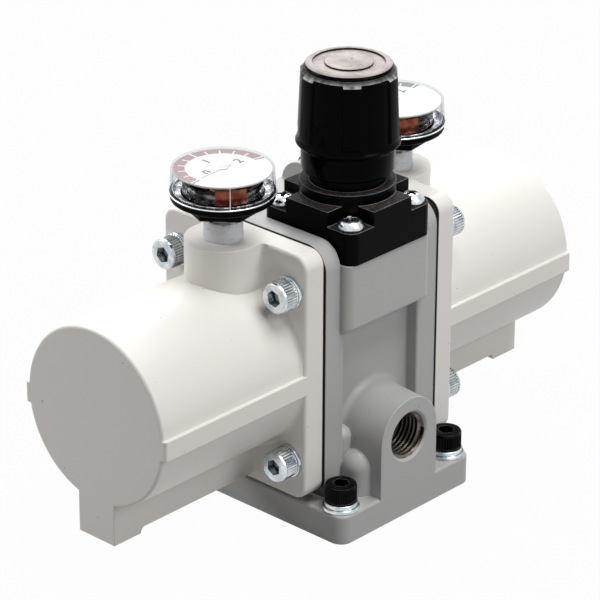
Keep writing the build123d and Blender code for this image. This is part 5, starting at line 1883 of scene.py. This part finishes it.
    def tape(self) -> Piece:
        """Model the tape's wraps with their frayed, sagging upper edge.

        Returns:
            The tape.
        """
        r, low, top, hole = self.tape_r, self.boss_z + 0.05, self.tape_top, self.stem_r
        outline = [
            (hole, low), (r - 0.1, low), (r, low + 0.4), (r - 0.02, low + 1.6), (r - 0.14, low + 1.9),
            (r - 0.1, low + 3.3), (r - 0.2, low + 3.6), (r - 0.12, top - 1.6), (r - 0.22, top - 1.3),
            (r - 0.3, top), (hole, top), (hole, low),
        ]
        piece = Bench.turn("tape", outline, steps=96)
        with Bench.editing(piece, pick=lambda vert: vert.co.z > (top - 0.1) * MM):
            bpy.ops.transform.vertex_random(
                offset=self.tape_fray * MM, uniform=0.0, normal=0.0, seed=self.fray_seed,
            )
        for sag in self.sags:
            with Bench.editing(piece, pick=partial(self.in_sag, sag=sag)):
                bpy.ops.transform.translate(value=(0, 0, -sag.drop * MM))
        with Bench.editing(piece, pick=self.on_wraps):
            bpy.ops.transform.vertex_random(
                offset=self.tape_crumple * MM, uniform=0.3, normal=0.0, seed=self.crumple_seed,
            )
        return Bench.smooth(piece, crease=50)

    def in_sag(self, vert: bmesh.types.BMVert, sag: Sag) -> bool:
        """Tell whether a vertex of the tape's upper edge lies in a sagging stretch.

        Args:
            vert: The vertex.
            sag: The stretch.

        Returns:
            Whether it moves with that stretch.
        """
        turn = math.degrees(math.atan2(vert.co.y, vert.co.x)) - sag.angle
        near = abs((turn + 180) % 360 - 180) < sag.width / 2
        return near and vert.co.z > (self.tape_top - 1) * MM

    def on_wraps(self, vert: bmesh.types.BMVert) -> bool:
        """Tell whether a vertex lies on the tape's outside, away from its two edges."""
        between = (self.boss_z + 0.25) * MM < vert.co.z < (self.tape_top - 0.8) * MM
        return between and vert.co.xy.length > (self.stem_r + 0.1) * MM

    def case(self) -> Piece:
        """Model the hexagon under its shallow round pan.

        Returns:
            The case.
        """
        key = Bench.hexagon("case_hex", self.hex_across, self.hex_z, self.case_z + 0.1, self.hex_turn)
        Bench.ease(key, self.hex_edge)
        r, low, top = self.case_r, self.case_z, self.pan_z
        outline = [(0, low), (r - 0.75, low), (r - 0.2, low + 0.35), (r, low + 0.75), (r, top), (0, top)]
        pan = Bench.turn("case", outline, steps=128)
        return Bench.smooth(Bench.join([pan, key]), crease=25)

    def ring(self) -> Piece:
        """Model the ring that holds the lens.

        Returns:
            The ring.
        """
        r, low, top, hole = self.ring_r, self.pan_z, self.ring_z, self.ring_r - self.ring_width
        section = [
            (hole, low), (r - 0.15, low), (r, low + 0.15), (r, top - 0.2), (r - 0.2, top), (hole, top),
            (hole, low),
        ]
        return Bench.smooth(Bench.turn("ring", section, steps=128), crease=40)

    def bead(self) -> Piece:
        """Model the bright bead at the ring's upper edge.

        Returns:
            The bead.
        """
        r, top = self.ring_r + self.bead_proud, self.ring_z + self.bead_proud
        inner = r - self.bead_width
        section = [(inner, top - 0.3), (r, top - 0.3), (r, top - 0.08), (r - 0.1, top), (inner, top)]
        return Bench.smooth(Bench.turn("bead", [*section, section[0]], steps=128), crease=40)

    def lens(self) -> Piece:
        """Model the clear lens with its wall.

        Returns:
            The lens.
        """
        low, high, bottom, top = self.lens_low_r, self.lens_high_r, self.ring_z, self.lens_z
        wall, under = self.lens_wall, self.lens_z - self.lens_roof
        outside = [
            (0, top), (high - 0.75, top), (high - 0.3, top - 0.1), (high - 0.08, top - 0.3),
            (high, top - 0.6), (low, bottom),
        ]
        inside = [(low - wall, bottom), (high - wall, under - 0.3), (high - wall - 0.25, under), (0, under)]
        return Bench.smooth(Bench.turn("lens", outside + inside, steps=128), crease=40)

    def tube(self) -> Piece:
        """Model the flattened pressure tube, bent round the movement and open towards +X.

        Returns:
            The tube.
        """
        low, high = self.tube_r - self.tube_width / 2, self.tube_r + self.tube_width / 2
        foot, top, edge = self.pan_z, self.pan_z + self.tube_height, self.tube_edge
        section = [
            (low, foot + edge), (low + edge, foot), (high - edge, foot), (high, foot + edge),
            (high, top - edge), (high - edge, top), (low + edge, top), (low, top - edge),
            (low, foot + edge),
        ]
        piece = Bench.turn("tube", section, steps=90, sweep=self.tube_sweep)
        return Bench.smooth(Bench.place(piece, turn=(360 - self.tube_sweep) / 2), crease=40)

    def sleeve(self) -> Piece:
        """Model the copper stretch of the tube that faces the front, the only part of the tube not drawn dark
        grey.

        Returns:
            The stretch, a hair proud of the tube.
        """
        high = self.tube_r + self.tube_width / 2 + self.sleeve_proud
        low = high - self.sleeve_wall
        foot, top = self.pan_z + self.sleeve_z[0], self.pan_z + self.sleeve_z[1]
        section = [(low, foot), (high, foot), (high, top), (low, top), (low, foot)]
        piece = Bench.turn("sleeve", section, steps=24, sweep=self.sleeve_sweep)
        return Bench.smooth(Bench.place(Bench.ease(piece, 0.1), turn=self.sleeve_start), crease=40)

    def liner(self) -> Piece:
        """Model the bright lining that lies in the case round the tube.

        Returns:
            The lining.
        """
        low, inner, r = self.pan_z + 0.02, self.liner_r, self.lens_low_r - self.lens_wall - 0.1
        top = low + self.liner_height
        section = [
            (inner, low), (r, low), (r, top), (r - 0.25, top), (r - 0.45, low + 0.5), (r - 0.9, low + 0.2),
            (inner, low + 0.2), (inner, low),
        ]
        return Bench.smooth(Bench.turn("liner", section, steps=96), crease=30)

    def seam(self) -> Piece:
        """Model the lens's moulding seam as a fine ridge up its side.

        Returns:
            The ridge.
        """
        r, half = self.lens_low_r, self.seam_half
        low, high = (r - 0.25, -half, self.ring_z), (r + self.seam_proud, half, self.lens_z - 0.7)
        ridge = Bench.slab("seam", low, high)
        lean = self.lens_high_r - self.lens_low_r
        with Bench.editing(ridge, Element.FACE, lambda face: face.normal.z > 0.9):
            bpy.ops.transform.translate(value=(lean * MM, 0, 0))
        return Bench.place(Bench.ease(ridge, 0.04), turn=self.seam_angle)

    def movement(self) -> Piece:
        """Model the movement as a stepped post with an arm to the open end of the tube.

        Returns:
            The movement.
        """
        foot, top, r = self.pan_z, self.dial_z - self.dial_thickness, self.post_r
        outline = [
            (0, foot), (r, foot), (r, foot + 1.0), (r - 1.1, foot + 1.1), (r - 1.1, foot + 2.4),
            (r - 0.3, foot + 2.5), (r - 0.3, foot + 3.1), (r - 2.0, foot + 3.2), (r - 2.0, top), (0, top),
        ]
        post = Bench.turn("movement", outline, steps=40)
        arm = Bench.slab(
            "arm", (0, -self.arm_half, foot), (self.arm_length, self.arm_half, foot + self.tube_height),
        )
        return Bench.smooth(Bench.join([post, Bench.ease(arm, 0.25)]), crease=30)

    def dial(self) -> Piece:
        """Model the dial plate with its shaft hole.

        Returns:
            The dial.
        """
        r, top, low, hole = self.dial_r, self.dial_z, self.dial_z - self.dial_thickness, self.shaft_r + 0.3
        section = [
            (hole, low), (r - 0.05, low), (r, low + 0.08), (r, top - 0.12), (r - 0.12, top), (hole, top),
            (hole, low),
        ]
        return Bench.smooth(Bench.turn("dial", section, steps=128), crease=30)

    def band(self) -> Piece:
        """Model the printed band of the scale.

        Returns:
            The band.
        """
        low_r, high_r = self.band_r
        low, top = self.dial_z - self.print_proud, self.dial_z + self.print_proud
        section = [(low_r, low), (high_r, low), (high_r, top), (low_r, top), (low_r, low)]
        piece = Bench.turn("band", section, steps=100, sweep=self.sweep + 2 * self.band_over)
        return Bench.place(piece, turn=self.zero - self.sweep - self.band_over)

    def marks(self) -> Piece:
        """Model the scale's marks across the band, one for every tenth of its range.

        Returns:
            All the marks as one piece.
        """
        low_r, high_r = self.band_r
        whole = (low_r - 0.35, high_r + 0.02, 0.24)
        tenth = (low_r - 0.05, low_r + 1.9, 0.2)
        bars = []
        for step in range(11):
            start, end, half = whole if step % 5 == 0 else tenth
            bar = Bench.slab("mark", (start, -half, self.dial_z), (end, half, self.dial_z + 0.045))
            bars.append(Bench.place(bar, turn=self.zero - self.sweep * step / 10))
        return Bench.join(bars)

    def numerals(self) -> Piece:
        """Model the scale's three plain numbers.

        Returns:
            The numbers as one piece.
        """
        pieces = []
        for numeral in self.scale:
            Bench.clear()
            bpy.ops.object.text_add()
            text = bpy.context.object.data
            text.body = numeral.text
            text.align_x = "CENTER"
            text.align_y = "CENTER"
            text.size = self.numeral_size * MM
            text.extrude = 0.02 * MM
            text.offset = 0.05 * MM
            bpy.ops.object.convert(target="MESH")
            turn, radius = math.radians(numeral.angle), numeral.radius
            at = (radius * math.cos(turn), radius * math.sin(turn), self.dial_z + self.print_proud)
            pieces.append(Bench.place(bpy.context.object, at))
        return Bench.join(pieces)

    def pointer(self) -> Piece:
        """Model the pointer, its hub and its shaft, pointing along +X.

        Returns:
            The pointer.
        """
        low, top, half = self.pointer_z, self.pointer_z + self.pointer_thickness, self.pointer_half
        blade = Bench.slab("pointer", (-self.pointer_tail, -half, low), (self.pointer_length, half, top))
        with Bench.editing(blade, pick=lambda vert: vert.co.x > 0):
            bpy.ops.transform.resize(value=(1, self.pointer_taper, 1), center_override=(0, 0, 0))
        r, hub_r, foot = self.shaft_r, self.hub_r, self.dial_z - self.dial_thickness - 0.2
        outline = [
            (0, foot), (r, foot), (r, low), (hub_r, low), (hub_r, top), (hub_r - 0.2, top + 0.05),
            (0, top + 0.08),
        ]
        hub = Bench.turn("hub", outline, steps=32)
        return Bench.smooth(Bench.join([Bench.ease(blade, 0.05), hub]), crease=30)

    def link(self) -> Piece:
        """Model the small painted link between the tube's end and the movement.

        Returns:
            The link.
        """
        (start, end), half = self.link_x, self.link_half
        z = self.dial_z - self.dial_thickness - self.link_drop
        bar = Bench.slab("link", (start, -half, z), (end, half, z + self.link_thickness))
        with Bench.editing(bar, Element.FACE, lambda face: face.normal.x < -0.9):
            step = (-self.link_foot * MM, 0, 0)
            bpy.ops.mesh.extrude_region_move(TRANSFORM_OT_translate={"value": step})
            bpy.ops.transform.resize(value=(1, self.link_flare, 1), center_override=(0, 0, 0))
        return Bench.smooth(Bench.place(Bench.ease(bar, 0.08), turn=self.link_turn), crease=30)


@dataclass
class SoftBox:
    """One soft lamp of the studio, its place and size in metres and its power in watts."""

    name: str
    at: Point
    size: tuple[float, float]
    power: float

    def hang(self, aim: Vector) -> None:
        """Hang the lamp and turn it to the object.

        Args:
            aim: The point that it shines on.
        """
        Bench.clear()
        bpy.ops.object.light_add(type="AREA", location=self.at)
        lamp = bpy.context.object
        lamp.name = self.name
        lamp.data.shape = "RECTANGLE"
        lamp.data.size, lamp.data.size_y = self.size
        lamp.data.energy = self.power
        lamp.rotation_euler = (aim - lamp.location).to_track_quat("-Z", "Y").to_euler()


@dataclass
class Studio:
    """The pale floor, the soft light and the camera.

    The camera's target and distance are in millimetres, the floor and the lamps' aim in metres.
    """

    lamps: tuple[SoftBox, ...] = (
        SoftBox("top_box", at=(0.1, -0.3, 0.95), size=(0.5, 0.5), power=6.6),
        SoftBox("front_box", at=(0.1, -0.95, 0.62), size=(0.5, 0.5), power=3.6),
        SoftBox("rear_box", at=(0.6, 0.62, 0.92), size=(0.8, 0.5), power=9.5),
        SoftBox("left_box", at=(-0.5, 0.75, 0.6), size=(0.5, 0.5), power=5.4),
    )
    aim: Point = (0.0, 0.0, 0.05)
    white: Colour = (1.0, 1.0, 1.0)
    ambient: float = 0.09
    floor_size: float = 8.0
    floor_grey: Colour = (0.34, 0.34, 0.34)
    floor_glow: float = 0.975
    target: Point = (-3.809, 0.0, 52.428)
    distance: float = 886.795
    azimuth: float = -47.175
    elevation: float = 24.987
    roll: float = 0.267
    lens: float = 199.49
    sensor: float = 36.0
    far_clip: float = 50.0

    def build(self) -> None:
        """Set up the floor, the world, the lamps and the camera."""
        bpy.context.scene.view_settings.view_transform = "Standard"
        self.lay_floor()
        self.light_world()
        for lamp in self.lamps:
            lamp.hang(Vector(self.aim))
        self.stand_camera()

    def lay_floor(self) -> None:
        """Lay a pale floor that keeps the object's shadow."""
        Bench.clear()
        bpy.ops.mesh.primitive_plane_add(size=self.floor_size, location=(0, 0, 0))
        floor = bpy.context.object
        floor.name = "floor"
        sheet = Sheet.for_material("pale_floor")
        matt = sheet.add("BsdfDiffuse", None, {"Color": self.floor_grey})
        glow = sheet.add("Emission", None, {"Color": self.white, "Strength": 1.0})
        share = sheet.shown() * self.floor_glow
        floor.data.materials.append(sheet.finish(sheet.add("MixShader", None, {0: share, 1: matt, 2: glow})))

    def light_world(self) -> None:
        """Light the room evenly, and show it white where it is seen or mirrored."""
        world = bpy.data.worlds.new("room")
        bpy.context.scene.world = world
        sheet = Sheet(world)
        soft = sheet.add("Background", None, {"Color": self.white, "Strength": self.ambient})
        bright = sheet.add("Background", None, {"Color": self.white, "Strength": 1.0})
        sheet.finish(sheet.add("MixShader", None, {0: sheet.shown(), 1: soft, 2: bright}))

    def stand_camera(self) -> None:
        """Stand the camera where the photograph was taken from."""
        Bench.clear()
        bpy.ops.object.camera_add()
        camera = bpy.context.object
        camera.name = "camera"
        target = Vector(self.target) * MM
        turn, rise = math.radians(self.azimuth), math.radians(self.elevation)
        away = Vector((math.sin(turn) * math.cos(rise), -math.cos(turn) * math.cos(rise), math.sin(rise)))
        camera.location = target + away * self.distance * MM
        camera.data.lens = self.lens
        camera.data.sensor_width = self.sensor
        camera.data.clip_end = self.far_clip
        look = (-away).to_track_quat("-Z", "Y").to_matrix().to_4x4()
        roll = Matrix.Rotation(math.radians(self.roll), 4, "Z")
        camera.rotation_euler = (look @ roll).to_euler()
        bpy.context.scene.camera = camera


def main() -> None:
    """Load the frame, dress it piece by piece and set up the studio."""
    logging.basicConfig(level=logging.INFO, format="%(name)s: %(message)s", force=True)
    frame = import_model()
    shop = PaintShop()
    shop.paint_nodes(frame)
    groups = (
        Castings(shop), SoftParts(shop), SocketScrews(shop), PanScrews(shop), SettingKnob(shop), Gauges(shop),
    )
    for group in groups:
        group.build()
        LOG.info("%s: %d pieces", type(group).__name__, len(group.made))
    Studio().build()


if __name__ == "__main__":
    main()
